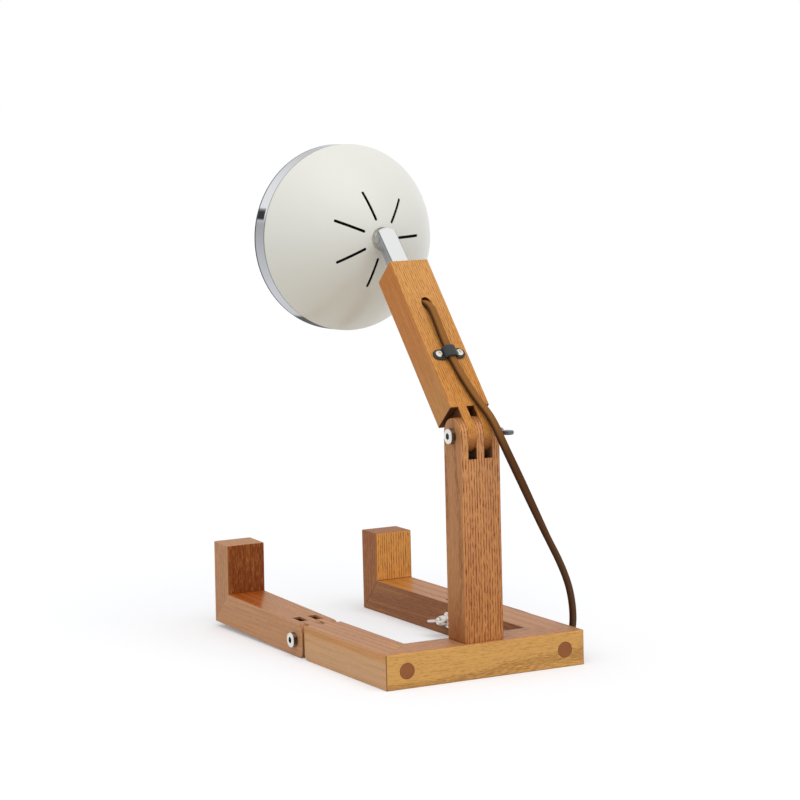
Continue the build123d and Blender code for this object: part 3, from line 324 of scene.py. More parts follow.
def paint_timber():
    back = tuple(ARM_BACK)
    corners = [corner_mitre(1), corner_mitre(-1)]
    aside = (0.885, -0.466, 0.0)  # square to the line where the warm light under a foot ends
    # painted reflections of the warm light from each foot on its shin's top
    near_foot_reflection = (UP, aside, 161.5, 164.0, linear(152, 68, 2), 0.97)
    far_foot_reflection = (UP, aside, 43.5, 46.0, linear(188, 119, 42), 0.9)
    neck = (0.0, 0.0, NECK_HEIGHT)
    knee_x = HALF_WIDTH - HALF_STOCK
    left_knee, right_knee = ((x, -KNEE_REACH, KNEE_HEIGHT) for x in (knee_x, -knee_x))
    sticks = {
        "rear_rail": timber(
            "rear_rail", 1, X, Y, (-160, 20), 4.2, marks(0.04, 0.35, 2.1, 0.6, 1.2), ROSY,
            # painted light: amber on the top towards its back edge
            faces=[(REAR, GOLD)], seams=corners, painted_glows=[(UP, REAR, 8.0, 17.0, AMBER, 0.55)],
        ),
        "left_side_rail": timber(
            "left_side_rail", 2, Y, X, (130, 30), 4.6, marks(0.10, 0.20, 0.8, 0.9, 1.6), ROSY,
            faces=[(LEFT, TAN)], quiet=[(LEFT, 0.9), (UP, 0.7)], seams=corners[:1],
            # painted light: amber on the upper part of its outer side
            painted_glows=[(LEFT, UP, 18.0, 23.0, linear(194, 132, 66), 0.75)],
            hollow=(left_knee, UP, *BETWEEN_TONGUES),
        ),
        "right_side_rail": timber(
            "right_side_rail", 3, Y, X, (-20, 90), 3.6, marks(0.08, 0.15, 0.8, 0.8), ROSY,
            # painted shade: dark umber on the inner side, which faces the lamp's left
            faces=[(LEFT, UMBER)], quiet=[(UP, 0.7)], seams=corners[1:],
            hollow=(right_knee, UP, *BETWEEN_TONGUES),
        ),
        "left_shin": timber(
            "left_shin", 4, Y, X, (-40, 90), 2.4, marks(0.10, 0.25, 1.0, 1.0), ROSY,
            # painted reflection of the foot's warm light on its top
            faces=[(LEFT, linear(192, 140, 98))], quiet=[(LEFT, 0.85), (UP, 0.6)], painted_glows=[near_foot_reflection],
            hollow=(left_knee, UP, *BETWEEN_FINGERS),
        ),
        "right_shin": timber(
            "right_shin", 5, Y, X, (-40, 90), 2.4, marks(0.10, 0.15, 0.6, 0.7), ROSY,
            # painted shade: dark umber on the inner side; a painted reflection of the foot's warm light
            # on the top
            faces=[(LEFT, UMBER)], seams=[toe_mitre()], painted_glows=[far_foot_reflection],
            hollow=(right_knee, UP, *BETWEEN_FINGERS),
        ),
        "left_foot": timber(
            "left_foot", 6, Z, X, (-40, -330), 1.7, marks(0.25, 0.55, 2.0, 1.0), linear(186, 133, 92),
            faces=[(REAR, linear(134, 60, 12)), (UP, linear(228, 176, 128))],
            quiet=[(LEFT, 0.7)],
        ),
        "right_foot": timber(
            "right_foot", 7, Z, X, (-190, -330), 1.7, marks(0.22, 0.70, 1.2, 0.9, 1.4),
            # painted shade: this dark body tone shows on the foot's inner side, as on the rest of the
            # far leg
            linear(158, 93, 42),
            faces=[(REAR, linear(240, 168, 85))], seams=[toe_mitre()], quiet=[(LEFT, 0.5)],
        ),
        "post": timber(
            "post", 8, Z, X, (-170, 18), 2.1, marks(0.20, 0.85, 1.2, 1.1, 1.2), linear(180, 124, 76),
            faces=[(REAR, linear(215, 149, 97))], quiet=[(LEFT, 0.55)],
            # painted shade: darker towards the rail on its left and back sides
            painted_glows=[
                (LEFT, Z, 60.0, 26.0, linear(150, 86, 38), 0.8),
                (REAR, Z, 150.0, 30.0, linear(184, 114, 58), 0.9),
            ],
            hollow=(neck, REAR, *BETWEEN_FINGERS),
        ),
        "arm": timber(
            "arm", 9, ARM_UP, X, (-170, 12), 1.4, marks(0.14, 0.50, 1.3, 0.9), RUSSET,
            faces=[(back, linear(212, 152, 84))], quiet=[(LEFT, 0.85)],
            # painted light and shade: other tones on its left and back sides towards the neck
            painted_glows=[
                (LEFT, ARM_UP, 215.0, 165.0, linear(190, 136, 72), 0.7),
                (back, ARM_UP, 255.0, 175.0, linear(202, 134, 60), 0.9),
            ],
            hollow=(neck, back, *BETWEEN_TONGUES),
        ),
    }
    for node, material in sticks.items():
        wear(node, material)


def dowel_wood():
    """End grain of the darker dowels: fine rings and dots, with a dark glue line at the rim."""
    paint = Paint("dowel_wood", Specular_IOR_Level=0.35)
    place = paint.place()
    speck = paint.noise(place, 2.6, 3.0, 0.6)
    cloud = paint.noise(place, 0.15, 2.0)
    tone = paint.mix(linear(138, 79, 34), linear(157, 95, 46), cloud)
    tone = paint.mix(tone, linear(100, 52, 28), paint.ramp(speck, (0.52, 0.0), (0.7, 0.5)))
    dowel_x, dowel_z = HALF_WIDTH - 16.9, HALF_THICK
    off_x = paint.math("ABSOLUTE", paint.dot(place, X)) - dowel_x  # one dowel on each side
    off_z = paint.dot(place, Z) - dowel_z
    radius = paint.math("SQRT", off_x * off_x + off_z * off_z)
    tone = paint.mix(tone, GLUE, paint.clamped((radius - 5.3) / 0.5) * 0.7)
    return paint.finish(Base_Color=tone, Roughness=0.5, Normal=paint.bump(speck, 0.0001, 0.5))


# ---- metals, enamel, glass and mouldings ----
def enamel():
    """Cream gloss enamel with a faint orange-peel surface, and painted shade that makes it deeper and
    yellower where it faces down.
    """
    paint = Paint("cream_enamel", Coat_Weight=0.2, Coat_Roughness=0.12)
    place = paint.place()
    cloud = paint.noise(place, 0.02, 2.0)
    peel = paint.noise(place, 0.35, 2.0)
    tone = paint.mix((0.715, 0.703, 0.632), (0.745, 0.733, 0.672), cloud)
    # painted shade: a deeper, yellower cream on the sides that face down
    below = paint.clamped(0.15 - paint.facing(Z) * 1.3)
    tone = paint.mix(tone, (0.715, 0.692, 0.580), below)
    relief = paint.bump(peel, 0.0002, 0.2)
    return paint.finish(Base_Color=tone, Roughness=0.26 + peel * 0.06, Normal=relief)


def dark_enamel():
    """Matt black, with the faint speckle of a dipped finish. On the vent baffle it is painted shade: it
    makes the vents show dark.
    """
    paint = Paint("dark_enamel")
    speck = paint.noise(paint.place(), 1.5, 3.0, 0.6)
    tone = paint.mix((0.004, 0.004, 0.004), (0.012, 0.012, 0.012), speck)
    relief = paint.bump(speck, 0.00006, 0.4)
    return paint.finish(Base_Color=tone, Roughness=0.75 + speck * 0.15, Normal=relief)


def metal(name, colour, rough, brushing, direction, turned=()):
    """Metal with fine lines along a direction and a soft cloud of handling marks. turned gives painted
    reflections and painted shade, sides that are darker or brighter than the rest: a direction and
    the tone there."""
    paint = Paint(name, Metallic=1.0)
    place = paint.place()
    shrink = tuple(1 - 0.96 * abs(c) for c in direction)
    stretched = paint.node("VectorMath", {"operation": "MULTIPLY"}, {0: place, 1: shrink})
    lines = paint.noise(stretched, 4.0, 2.0, 0.6)
    cloud = paint.noise(place, 0.12, 3.0, 0.6)
    tone = colour
    # painted reflections and painted shade: another tone on the sides that face a direction
    for way, painted_side_tone in turned:
        tone = paint.mix(tone, painted_side_tone, paint.faces(way, 3.0))
    tone = paint.mix(tone, tuple(c * 0.7 for c in colour), paint.clamped((cloud - 0.4) * 0.7))
    return paint.finish(
        Base_Color=tone,
        Roughness=rough + lines * brushing + cloud * 0.05,
        Normal=paint.bump(lines, 0.00005, 0.35),
    )


def bracket_metal():
    """Folded sheet with painted reflections: bright across its back, greyer on its cheeks, dark along
    the folds between.
    """
    paint = Paint("bracket_metal", Metallic=1.0)
    place = paint.place()
    stretched = paint.node("VectorMath", {"operation": "MULTIPLY"}, {0: place, 1: (3.0, 0.2, 0.2)})
    lines = paint.noise(stretched, 1.0)
    # painted reflections: cheeks greyer than the back, and a painted dark line along the folds
    cheek = paint.math("ABSOLUTE", paint.facing(X))
    tone = paint.mix((0.80, 0.81, 0.80), (0.42, 0.43, 0.46), paint.clamped((cheek - 0.6) * 4.0))
    painted_fold_line = paint.ramp(cheek, (0.10, 0.0), (0.45, 1.0), (0.8, 1.0), (0.97, 0.0))
    tone = paint.mix(tone, (0.06, 0.06, 0.06), painted_fold_line * 0.8)
    relief = paint.bump(lines, 0.00005, 0.35)
    return paint.finish(Base_Color=tone, Roughness=0.28 + lines * 0.12, Normal=relief)


def carrier_finish():
    """Cream like the shade that it holds, with the sides that face across the lamp a little darker."""
    paint = Paint("carrier_finish")
    side = paint.math("ABSOLUTE", paint.facing(X))
    cloud = paint.noise(paint.place(), 0.3, 2.0)
    tone = paint.mix((0.80, 0.785, 0.69), (0.68, 0.67, 0.59), paint.clamped(side - 0.3 + cloud * 0.2))
    return paint.finish(Base_Color=tone, Roughness=0.28 + cloud * 0.06)


def rim_painted_reflections():
    """Polished plate of the rim band with its reflections painted on: a dark line on the bead and
    another where it meets the enamel, cool grey at its side, paler above and below, with a narrow dark
    stripe across it and a dark stretch at the bottom. angle runs round the band in turns from the
    lamp's left."""
    paint = Paint("rim_painted_reflections", Metallic=1.0, Specular_Tint=(0.6, 0.6, 0.6), Specular_IOR_Level=0.05)
    place = paint.place()
    depth = paint.dot(place, SHADE_AXIS) - float(RIM_CENTRE @ SHADE_AXIS) + BAND_LONG
    height = paint.dot(place, Z) - RIM_CENTRE[2]
    across = paint.dot(place, X)
    angle = paint.math("ARCTAN2", height, across) / TURN
    below = paint.clamped(height * -4.0)
    high_stops = [(0.0, 0.45), (0.03, 0.40), (0.05, 0.86), (0.10, 0.88), (0.25, 0.82), (0.5, 0.55)]
    low_stops = [(0.0, 0.45), (0.06, 0.60), (0.10, 0.74), (0.148, 0.80)]
    low_stops += [(0.155, 0.05), (0.27, 0.05), (0.29, 0.5)]
    # painted reflections: tones round the band, one set above its middle and one below
    high = paint.ramp(angle, *high_stops)
    low = paint.ramp(angle * -1.0, *low_stops)
    tone = paint.mix((0.0, 0.0, 0.0), (0.97, 0.99, 1.03), high * (1.0 - below) + low * below)
    # painted reflection: a narrow dark stripe across the band
    painted_dark_stripe = paint.ramp(angle, (0.036, 0.0), (0.039, 1.0), (0.054, 1.0), (0.057, 0.0))
    painted_dark_stripe = painted_dark_stripe * paint.ramp(depth / 20.0, (0.0, 1.0), (0.72, 1.0), (0.76, 0.0))
    tone = paint.mix(tone, (0.02, 0.02, 0.022), painted_dark_stripe)
    # painted reflections: dark lines on the bead and where the band meets the enamel
    bead = paint.ramp(depth / 20.0, (0.0, 1.0), (0.11, 1.0), (0.17, 0.0), (0.84, 0.0), (0.88, 0.6))
    tone = paint.mix(tone, (0.07, 0.07, 0.075), bead)
    # painted reflection: a dark stretch along the bottom
    painted_dark_beneath = paint.ramp(low, (0.0, 1.0), (0.1, 1.0), (0.3, 0.0)) * below
    # where the painted dark reflections lie, the plate is less metallic and rougher
    dark = paint.clamped(painted_dark_stripe + painted_dark_beneath + bead)
    scuff = paint.noise(place, 0.5, 3.0, 0.6)
    roughness = 0.07 + scuff * 0.06 + dark * 0.35
    return paint.finish(Base_Color=tone, Metallic=1.0 - dark * 0.9, Roughness=roughness)


def moulding(name, colour, rough, grain):
    """Moulded plastic: a fine pebbled grain, slightly lighter where it is rubbed."""
    paint = Paint(name)
    place = paint.place()
    pebble = paint.noise(place, grain, 2.0, 0.6)
    cloud = paint.noise(place, 0.06, 2.0)
    lighter = tuple(min(1.0, c * 1.5 + 0.01) for c in colour)
    tone = paint.mix(colour, lighter, paint.clamped(cloud * 0.6 + pebble * 0.2 - 0.2))
    relief = paint.bump(pebble, 0.00008, 0.4)
    return paint.finish(Base_Color=tone, Roughness=rough + pebble * 0.12, Normal=relief)


def opal():
    """Opal glass, unlit: milky white with a glossy skin and very faint clouds."""
    paint = Paint("opal_glass", Coat_Weight=0.5, Coat_Roughness=0.04)
    cloud = paint.noise(paint.place(), 0.05, 2.0)
    tone = paint.mix((0.80, 0.79, 0.75), (0.84, 0.835, 0.81), cloud)
    return paint.finish(Base_Color=tone, Roughness=0.10 + cloud * 0.04)


def ceramic():
    paint = Paint("unglazed_ceramic")
    speck = paint.noise(paint.place(), 1.8, 3.0, 0.6)
    tone = paint.mix((0.70, 0.67, 0.60), (0.82, 0.80, 0.74), speck)
    relief = paint.bump(speck, 0.00008, 0.4)
    return paint.finish(Base_Color=tone, Roughness=0.6 + speck * 0.2, Normal=relief)


# heights in millimetres between which painted shade darkens the cord towards the floor
BRAID_SHADE_STARTS, BRAID_SHADE_FULL = 195.0, 165.0


def braid():
    """Brown textile over two cores: a diagonal weave in the tube's own coordinates, u round the
    section and v in metres along the cord. Painted shade makes it darker low down and on its left side."""
    paint = Paint("cord_textile", Specular_IOR_Level=0.12)
    parts = paint.tree.nodes.new("ShaderNodeSeparateXYZ")
    paint.feed(parts.inputs[0], paint.node("UVMap", {"uv_map": "cord"}, {}))
    around = Wire(paint, parts.outputs[0])
    along = Wire(paint, parts.outputs[1])
    threads, pitch = 14.0, 1 / 0.0021
    one = paint.math("SINE", (around * threads + along * pitch) * TURN)
    other = paint.math("SINE", (around * threads - along * pitch) * TURN)
    weave = paint.math("MAXIMUM", one, other)
    fuzz = paint.noise(paint.place(), 2.2, 3.0, 0.65)
    length_tone = paint.noise(paint.place(), 0.05, 2.0)
    worn = paint.clamped(weave * 0.28 + 0.42)
    tone = paint.mix(linear(118, 75, 32), linear(168, 113, 56), worn)
    tone = paint.mix(tone, linear(84, 50, 28), paint.clamped(fuzz * 0.9 - 0.25) * 0.6)
    tone = paint.mix(tone, linear(160, 104, 58), paint.clamped(length_tone - 0.45) * 0.8)
    # painted shade: darker towards the floor
    lower = BRAID_SHADE_STARTS - paint.dot(paint.place(), Z)
    lower = paint.clamped(lower / (BRAID_SHADE_STARTS - BRAID_SHADE_FULL))
    tone = paint.mix(tone, linear(58, 32, 14), lower * 0.8)
    # painted shade: darker on the sides that face the lamp's left
    tone = paint.mix(tone, linear(48, 25, 12), paint.clamped(paint.facing(LEFT) * 1.3 - 0.2) * 0.85)
    relief = paint.bump(weave * 0.5 + fuzz * 0.5, 0.00018, 0.6)
    return paint.finish(Base_Color=tone, Roughness=0.62 + fuzz * 0.2, Normal=relief)


def strap_cloth():
    """Woven strap: warp and weft lines about a third of a millimetre apart."""
    paint = Paint("tie_strap", Sheen_Weight=0.1)
    place = paint.place()
    warp = paint.math("SINE", paint.dot(place, Y) * TURN * 1.6)
    weft = paint.math("SINE", paint.dot(place, (0.7, 0.0, 0.7)) * TURN * 1.6)
    weave = warp * weft
    tone = paint.mix((0.030, 0.020, 0.016), (0.090, 0.062, 0.048), paint.clamped(weave * 0.4 + 0.5))
    relief = paint.bump(weave, 0.00015, 0.6)
    return paint.finish(Base_Color=tone, Roughness=0.8 + weave * 0.1, Normal=relief)


STEEL = (0.52, 0.51, 0.49)
SHADOW_STEEL = (0.07, 0.065, 0.06)


def paint_small_parts():
    finishes = {
        enamel: ["shade"],
        # painted shade: the matt black vent baffle makes the vents show dark
        dark_enamel: ["vent_baffle"],
        dowel_wood: ["corner_dowels", "post_pin"],
        rim_painted_reflections: ["rim_band"],
        opal: ["bulb_globe"],
        ceramic: ["holder_core"],
        strap_cloth: ["cord_tie"],
    }
    for make, nodes in finishes.items():
        shared = make()
        for node in nodes:
            wear(node, shared)
    wear("neck_bracket", bracket_metal())
    # painted reflections and painted shade: bolt heads and washers darker on top, at the back and below,
    # plain steel at the front
    sides = [(UP, (0.30, 0.29, 0.27)), (REAR, SHADOW_STEEL), ((0.0, 0.0, -1.0), SHADOW_STEEL)]
    bolt = metal("bolt_steel", (0.78, 0.76, 0.71), 0.18, 0.10, X, sides + [((0.0, -1.0, 0.0), STEEL)])
    for joint in ("neck", "left_knee", "right_knee"):
        wear(joint + "_bolt", bolt)
        wear(joint + "_washer", bolt)
    turned = metal("turned_metal", STEEL, 0.25, 0.12, Y)
    wear("shade_carrier", carrier_finish())
    for node in ("nipple", "lock_nut", "tilt_pins", "bulb_cap"):
        wear(node, turned)
    screw = metal("plated_screw", (0.80, 0.76, 0.66), 0.22, 0.08, X)
    for node in ("post_screws", "bracket_screws", "switch_screw", "clip_screws"):
        wear(node, screw)
    brass = metal("contact_brass", (0.70, 0.50, 0.20), 0.25, 0.10, Y)
    for node in ("holder_thread", "holder_contact", "switch_terminals", "plug_pins", "bulb_contact"):
        wear(node, brass)
    black = moulding("black_moulding", (0.018, 0.018, 0.019), 0.28, 1.4)
    for node in ("holder_cap", "holder_skirt"):
        wear(node, black)
    brown = moulding("brown_moulding", (0.050, 0.026, 0.017), 0.38, 1.6)
    for node in ("switch_base", "plug_body"):
        wear(node, brown)
    wear("switch_cover", moulding("tan_moulding", linear(150, 106, 80), 0.42, 1.6))
    wear("switch_rocker", moulding("rocker_moulding", (0.022, 0.013, 0.010), 0.30, 2.2))
    lead = moulding("lead_sleeve", (0.040, 0.022, 0.016), 0.45, 1.2)
    for node in ("arm_lead", "head_lead"):
        wear(node, lead)


# ---- surfaces on a grid ----
def grid_piece(name, shells, closed_u=True, material=None, sharp=None):
    """A mesh from arrays of rings, each of shape (rings, points, 3) in millimetres. Neighbouring
    rings of a shell are joined by quads, closed round when closed_u, and its end rings are capped."""
    places, faces, start = [], [], 0
    for rings in shells:
        rings = np.asarray(rings, float)
        rows, cols, _ = rings.shape
        index = start + np.arange(rows * cols).reshape(rows, cols)
        ahead = np.roll(index, -1, axis=1) if closed_u else index[:, 1:]
        here = index if closed_u else index[:, :-1]
        quads = np.stack([here[:-1], ahead[:-1], ahead[1:], here[1:]], axis=-1).reshape(-1, 4)
        faces += quads.tolist()
        if closed_u:
            faces += [index[0][::-1].tolist(), index[-1].tolist()]
        places.append(rings.reshape(-1, 3) * MM)
        start += rows * cols
    mesh = bpy.data.meshes.new(name)
    mesh.from_pydata(np.concatenate(places).tolist(), [], faces)
    piece = bpy.data.objects.new(name, mesh)
    bpy.context.scene.collection.objects.link(piece)
    mesh.shade_smooth()
    if sharp is not None:
        face_out(mesh)
        mesh.set_sharp_from_angle(angle=math.radians(sharp))
    if material is not None:
        mesh.materials.append(material)
    return piece


def face_out(mesh):
    """Merges doubles and turns all faces of closed shells outwards."""
    made = bmesh.new()
    made.from_mesh(mesh)
    bmesh.ops.remove_doubles(made, verts=made.verts, dist=1e-7)
    bmesh.ops.dissolve_degenerate(made, edges=made.edges, dist=1e-7)
    bmesh.ops.recalc_face_normals(made, faces=made.faces)
    made.to_mesh(mesh)
    made.free()


def signed_power(values, power):
    """Each value's size raised to a power, with its sign kept: the shape of a superellipse."""
    return np.sign(values) * np.abs(values) ** power


# ---- saddle clip over the cord ----
CLIP_PITCH = 17.0
CLIP_LOBE_RADIUS = 4.5
CLIP_SADDLE_HALF = 4.7
CLIP_SHEET = 1.6
CLIP_ARCH_HALF = 4.5
CLIP_RISE = 5.1
CLIP_LOBE_STEPS, CLIP_ARCH_STEPS, CLIP_SECTION_STEPS = 29, 61, 24


def softened(values, width):
    """A running mean over the first axis, with the ends held."""
    half = width // 2
    padded = np.pad(values, [(half, half)] + [(0, 0)] * (values.ndim - 1), mode="edge")
    total = np.cumsum(np.insert(padded, 0, 0.0, axis=0), axis=0)
    return (total[width:] - total[:-width]) / width


def make_clip():
    """A strip carried along the path lobe, arch, lobe. The arch is a superellipse of exponent 3.5;
    the strip's half width is the lobe's circle at the ends and the saddle's half in the middle, and
    its section is a superellipse of exponent 5."""
    lobe_x = CLIP_PITCH / 2
    end_x = lobe_x + CLIP_LOBE_RADIUS
    turn = np.linspace(math.pi, 0.0, CLIP_ARCH_STEPS)
    arch_power, section_power = 2 / 3.5, 2 / 5
    arch_x = CLIP_ARCH_HALF * signed_power(np.cos(turn), arch_power)
    arch_z = CLIP_SHEET / 2 + CLIP_RISE * np.sin(turn) ** arch_power
    ease = 1 - np.cos(np.linspace(0, math.pi / 2, CLIP_LOBE_STEPS + 1))
    lobe = end_x - (end_x - CLIP_ARCH_HALF) * ease
    x = np.concatenate([-lobe[:-1], arch_x, lobe[-2::-1]])
    flat = np.full(CLIP_LOBE_STEPS, CLIP_SHEET / 2)
    z = np.concatenate([flat, arch_z, flat])
    inside = np.clip(np.abs(x) - lobe_x, 0.0, CLIP_LOBE_RADIUS)
    half = np.sqrt(np.maximum(CLIP_LOBE_RADIUS ** 2 - inside ** 2, 0.02))
    half = np.where(np.abs(x) < CLIP_ARCH_HALF + 0.01, CLIP_SADDLE_HALF, half)
    path = softened(np.stack([x, z], axis=1), 5)
    half = np.concatenate([half[:12], softened(half, 9)[12:-12], half[-12:]])
    tangent = np.gradient(path, axis=0)
    tangent /= np.linalg.norm(tangent, axis=1)[:, None]
    normal = np.stack([-tangent[:, 1], tangent[:, 0]], axis=1)
    angle = np.arange(CLIP_SECTION_STEPS) * TURN / CLIP_SECTION_STEPS
    along = signed_power(np.cos(angle), section_power)
    up = signed_power(np.sin(angle), section_power) * CLIP_SHEET / 2
    across = path[:, :1] + normal[:, :1] * up
    lift = path[:, 1:] + normal[:, 1:] * up
    reach = CLIP_REACH + half[:, None] * along
    rings = (
        np.array([0.0, 0.0, NECK_HEIGHT]) + across[..., None] * np.array(X)
        + (HALF_THICK + lift)[..., None] * ARM_BACK + reach[..., None] * ARM_UP
    )
    material = moulding("clip_moulding", linear(30, 35, 37), 0.42, 1.8)
    piece = grid_piece("saddle_clip", [rings], material=material, sharp=50)
    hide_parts("cord_clip")
    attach(piece, "arm")


# ---- wing nuts ----
WING_BORE = 3.05
WING_HUB = [(4.5, 0.0), (4.8, 0.3), (4.8, 1.3), (4.5, 1.6), (4.1, 1.8), (3.8, 6.4), (3.4, 7.0)]
WING_FOOT_CIRCLE = (2.6, 3.3, 2.4)  # distance from the axis, height above the seat, radius
WING_LOBE_CIRCLE = (8.0, 9.2, 3.75)


def wing_outline(count):
    """Two circles and their common tangents: in each direction the point of whichever circle
    reaches further that way."""
    angle = np.arange(count) * TURN / count
    way = np.stack([np.cos(angle), np.sin(angle)], axis=1)
    circles = (WING_FOOT_CIRCLE, WING_LOBE_CIRCLE)
    foot, lobe = (np.array(circle[:2]) + circle[2] * way for circle in circles)
    further = (lobe * way).sum(axis=1) > (foot * way).sum(axis=1)
    return np.where(further[:, None], lobe, foot)


def make_wing_nut(joint, seat, side, turn, half_thick, material):
    """A turned hub with two ears. An ear is its outline drawn in towards its middle over a rounded
    rim, flat on both sides; a hub is its profile turned about the bolt."""
    out = np.array([side, 0.0, 0.0])
    ear = np.array([0.0, math.sin(turn), math.cos(turn)])
    flat = np.cross(out, ear)
    start = joint_pivot(joint) + np.array([seat, 0.0, 0.0])
    angle = np.arange(40) * TURN / 40
    ring = np.cos(angle)[:, None] * ear + np.sin(angle)[:, None] * flat
    profile = [(WING_BORE, 0.0), *WING_HUB, (WING_BORE, WING_HUB[-1][1]), (WING_BORE, 0.0)]
    hub = [start + out * height + ring * radius for radius, height in profile]
    outline = wing_outline(48)
    centre = outline.mean(axis=0)
    rim = [(0.0, -1.0), (0.78, -1.0), (0.90, -0.92), (0.97, -0.68), (1.0, -0.3)]
    rim += [(share, -thick) for share, thick in rim[::-1]]
    shells = [hub]
    for way in (1, -1):
        drawn = [(centre + (outline - centre) * share, thick * half_thick) for share, thick in rim]
        shells.append([
            start + way * points[:, :1] * ear + points[:, 1:] * out + thick * flat
            for points, thick in drawn
        ])
    piece = grid_piece(joint + "_wings", shells, material=material, sharp=40)
    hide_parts(joint + "_wing_nut")
    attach(piece, joint + "_wing_nut")


def joint_pivot(joint):
    """Where the joint's axis crosses the lamp's middle plane."""
    if joint == "neck":
        return np.array([0.0, 0.0, NECK_HEIGHT])
    return np.array([0.0, -KNEE_REACH, KNEE_HEIGHT])


def make_wing_nuts():
    # painted shade: the cast knee nuts darker on their undersides and at the front; painted highlight:
    # the dull neck nut paler on top
    painted_shade_sides = [((0.0, 0.0, -1.0), SHADOW_STEEL), ((0.0, -1.0, 0.0), (0.22, 0.21, 0.20))]
    cast = metal("cast_steel", (0.80, 0.76, 0.70), 0.24, 0.12, X, painted_shade_sides)
    dull = metal("dull_steel", (0.16, 0.16, 0.17), 0.30, 0.12, X, [(UP, (0.30, 0.30, 0.32))])
    make_wing_nut("neck", NECK_NUT_SEAT, -1, math.radians(90), 1.6, dull)
    make_wing_nut("left_knee", KNEE_NUT_SEAT, -1, math.radians(60), 1.1, cast)
    make_wing_nut("right_knee", -KNEE_NUT_SEAT, 1, math.radians(84), 1.0, cast)


# ---- cord ----
CORD_WIDE = 6.4
CORD_THIN = 4.2
CORD_VALLEY = 0.14  # depth of the hollow between its two cores, as a share of half its thickness
HANK_REAR, HANK_LONG = -106.0, 112.0
HANK_OUTER = 20.9
HANK_X = -HALF_WIDTH - 2.5 - HANK_OUTER
OUTER_TURN, MIDDLE_TURN, INNER_TURN = 19.0, 15.2, 11.4
BOTTOM_LEVEL, TOP_LEVEL = 3.3, 7.8
SWITCH_X = -96.2
CORD_LEVEL = 6.8
PLUG_X = -102.35
HOLE_REACH = 109.7

ARM_ROUTE = [
    (0.0, -7.5, 117.8), (0.2, 3.0, 107.5), (0.5, 4.3, 95.0), (0.5, 3.1, 79.0), (0.2, 2.3, 62.5),
    (-1.1, 2.4, 47.0), (-3.4, 2.6, 32.0), (-6.1, 3.0, 18.0),
]
DROP_ROUTE = [
    (-10.6, 12.0, 188.6), (-11.4, 25.6, 171.9), (-18.8, 35.0, 147.8), (-29.2, 37.0, 124.2),
    (-42.9, 33.0, 100.4), (-57.2, 25.0, 81.2), (-71.0, 14.5, 60.8), (-81.6, 2.0, 41.5),
    (-90.4, -12.5, 24.0), (-94.6, -24.0, 13.6), (-96.0, -35.0, 8.4),
]
LINK_ROUTE = [
    (SWITCH_X, -46.0, CORD_LEVEL), (SWITCH_X, -62.0, CORD_LEVEL), (SWITCH_X, -82.0, CORD_LEVEL),
    (SWITCH_X, -98.0, CORD_LEVEL), (-94.8, -104.5, 6.6), (-88.6, -110.5, 5.4), (-87.0, -119.0, 4.3),
]
TAIL_ROUTE = [(-91.4, -207.0, 9.2), (-95.0, -214.0, 9.2), (-100.8, -219.5, 8.6), (PLUG_X, -227.0, 7.0)]


def hank_turns():
    """The wound spare length. Each leg is a straight along one side and a half circle at its end;
    a leg is (side, radius before, radius after, level before, level after)."""
    bottom, top = BOTTOM_LEVEL, TOP_LEVEL
    legs = [
        (1, OUTER_TURN, OUTER_TURN, bottom, bottom), (-1, OUTER_TURN, MIDDLE_TURN, bottom, bottom),
        (1, MIDDLE_TURN, MIDDLE_TURN, bottom, bottom), (-1, MIDDLE_TURN, INNER_TURN, bottom, bottom),
        (1, INNER_TURN, INNER_TURN, bottom, bottom), (-1, INNER_TURN, INNER_TURN, bottom, top),
        (1, INNER_TURN, MIDDLE_TURN, top, top), (-1, MIDDLE_TURN, MIDDLE_TURN, top, top),
        (1, MIDDLE_TURN, MIDDLE_TURN, top, top),
    ]
    rear = HANK_REAR - HANK_OUTER
    front = HANK_REAR - HANK_LONG + HANK_OUTER
    bends = 6
    swell = 1 / (1 - (math.pi / bends) ** 2 / 8)  # a quadratic spline runs inside its points
    points = []
    end_turn_shares = [step / bends for step in range(1, bends)]
    for leg, (side, radius, next_radius, level, next_level) in enumerate(legs):
        start, end = (rear, front) if side > 0 else (front, rear)
        for share in (0.12, 0.37, 0.63, 0.88):
            points.append((HANK_X + side * radius, start + (end - start) * share, level))
        if leg == len(legs) - 1:
            break
        way = 1 if side < 0 else -1
        for share in end_turn_shares:
            turn = math.pi * share
            reach = (radius + (next_radius - radius) * share) * swell
            x = HANK_X + side * reach * math.cos(turn)
            y = end + way * reach * math.sin(turn)
            points.append((x, y, level + (next_level - level) * share))
    return points


def smooth_line(name, points, resolution=10):
    """Points along a NURBS spline of order 3 whose control points are given, in millimetres."""
    curve = bpy.data.curves.new(name, "CURVE")
    curve.dimensions = "3D"
    spline = curve.splines.new("NURBS")
    spline.points.add(len(points) - 1)
    for slot, point in zip(spline.points, points):
        slot.co = (*[c * MM for c in point], 1.0)
    spline.order_u = 3
    spline.use_endpoint_u = True
    spline.resolution_u = resolution
    holder = bpy.data.objects.new(name, curve)
    mesh = bpy.data.meshes.new_from_object(holder)
    line = np.array([v.co for v in mesh.vertices], float) / MM
    bpy.data.objects.remove(holder)
    bpy.data.curves.remove(curve)
    bpy.data.meshes.remove(mesh)
    return line


def distances(line):
    steps = np.linalg.norm(np.diff(line, axis=0), axis=1)
    return np.concatenate([[0.0], np.cumsum(steps)])


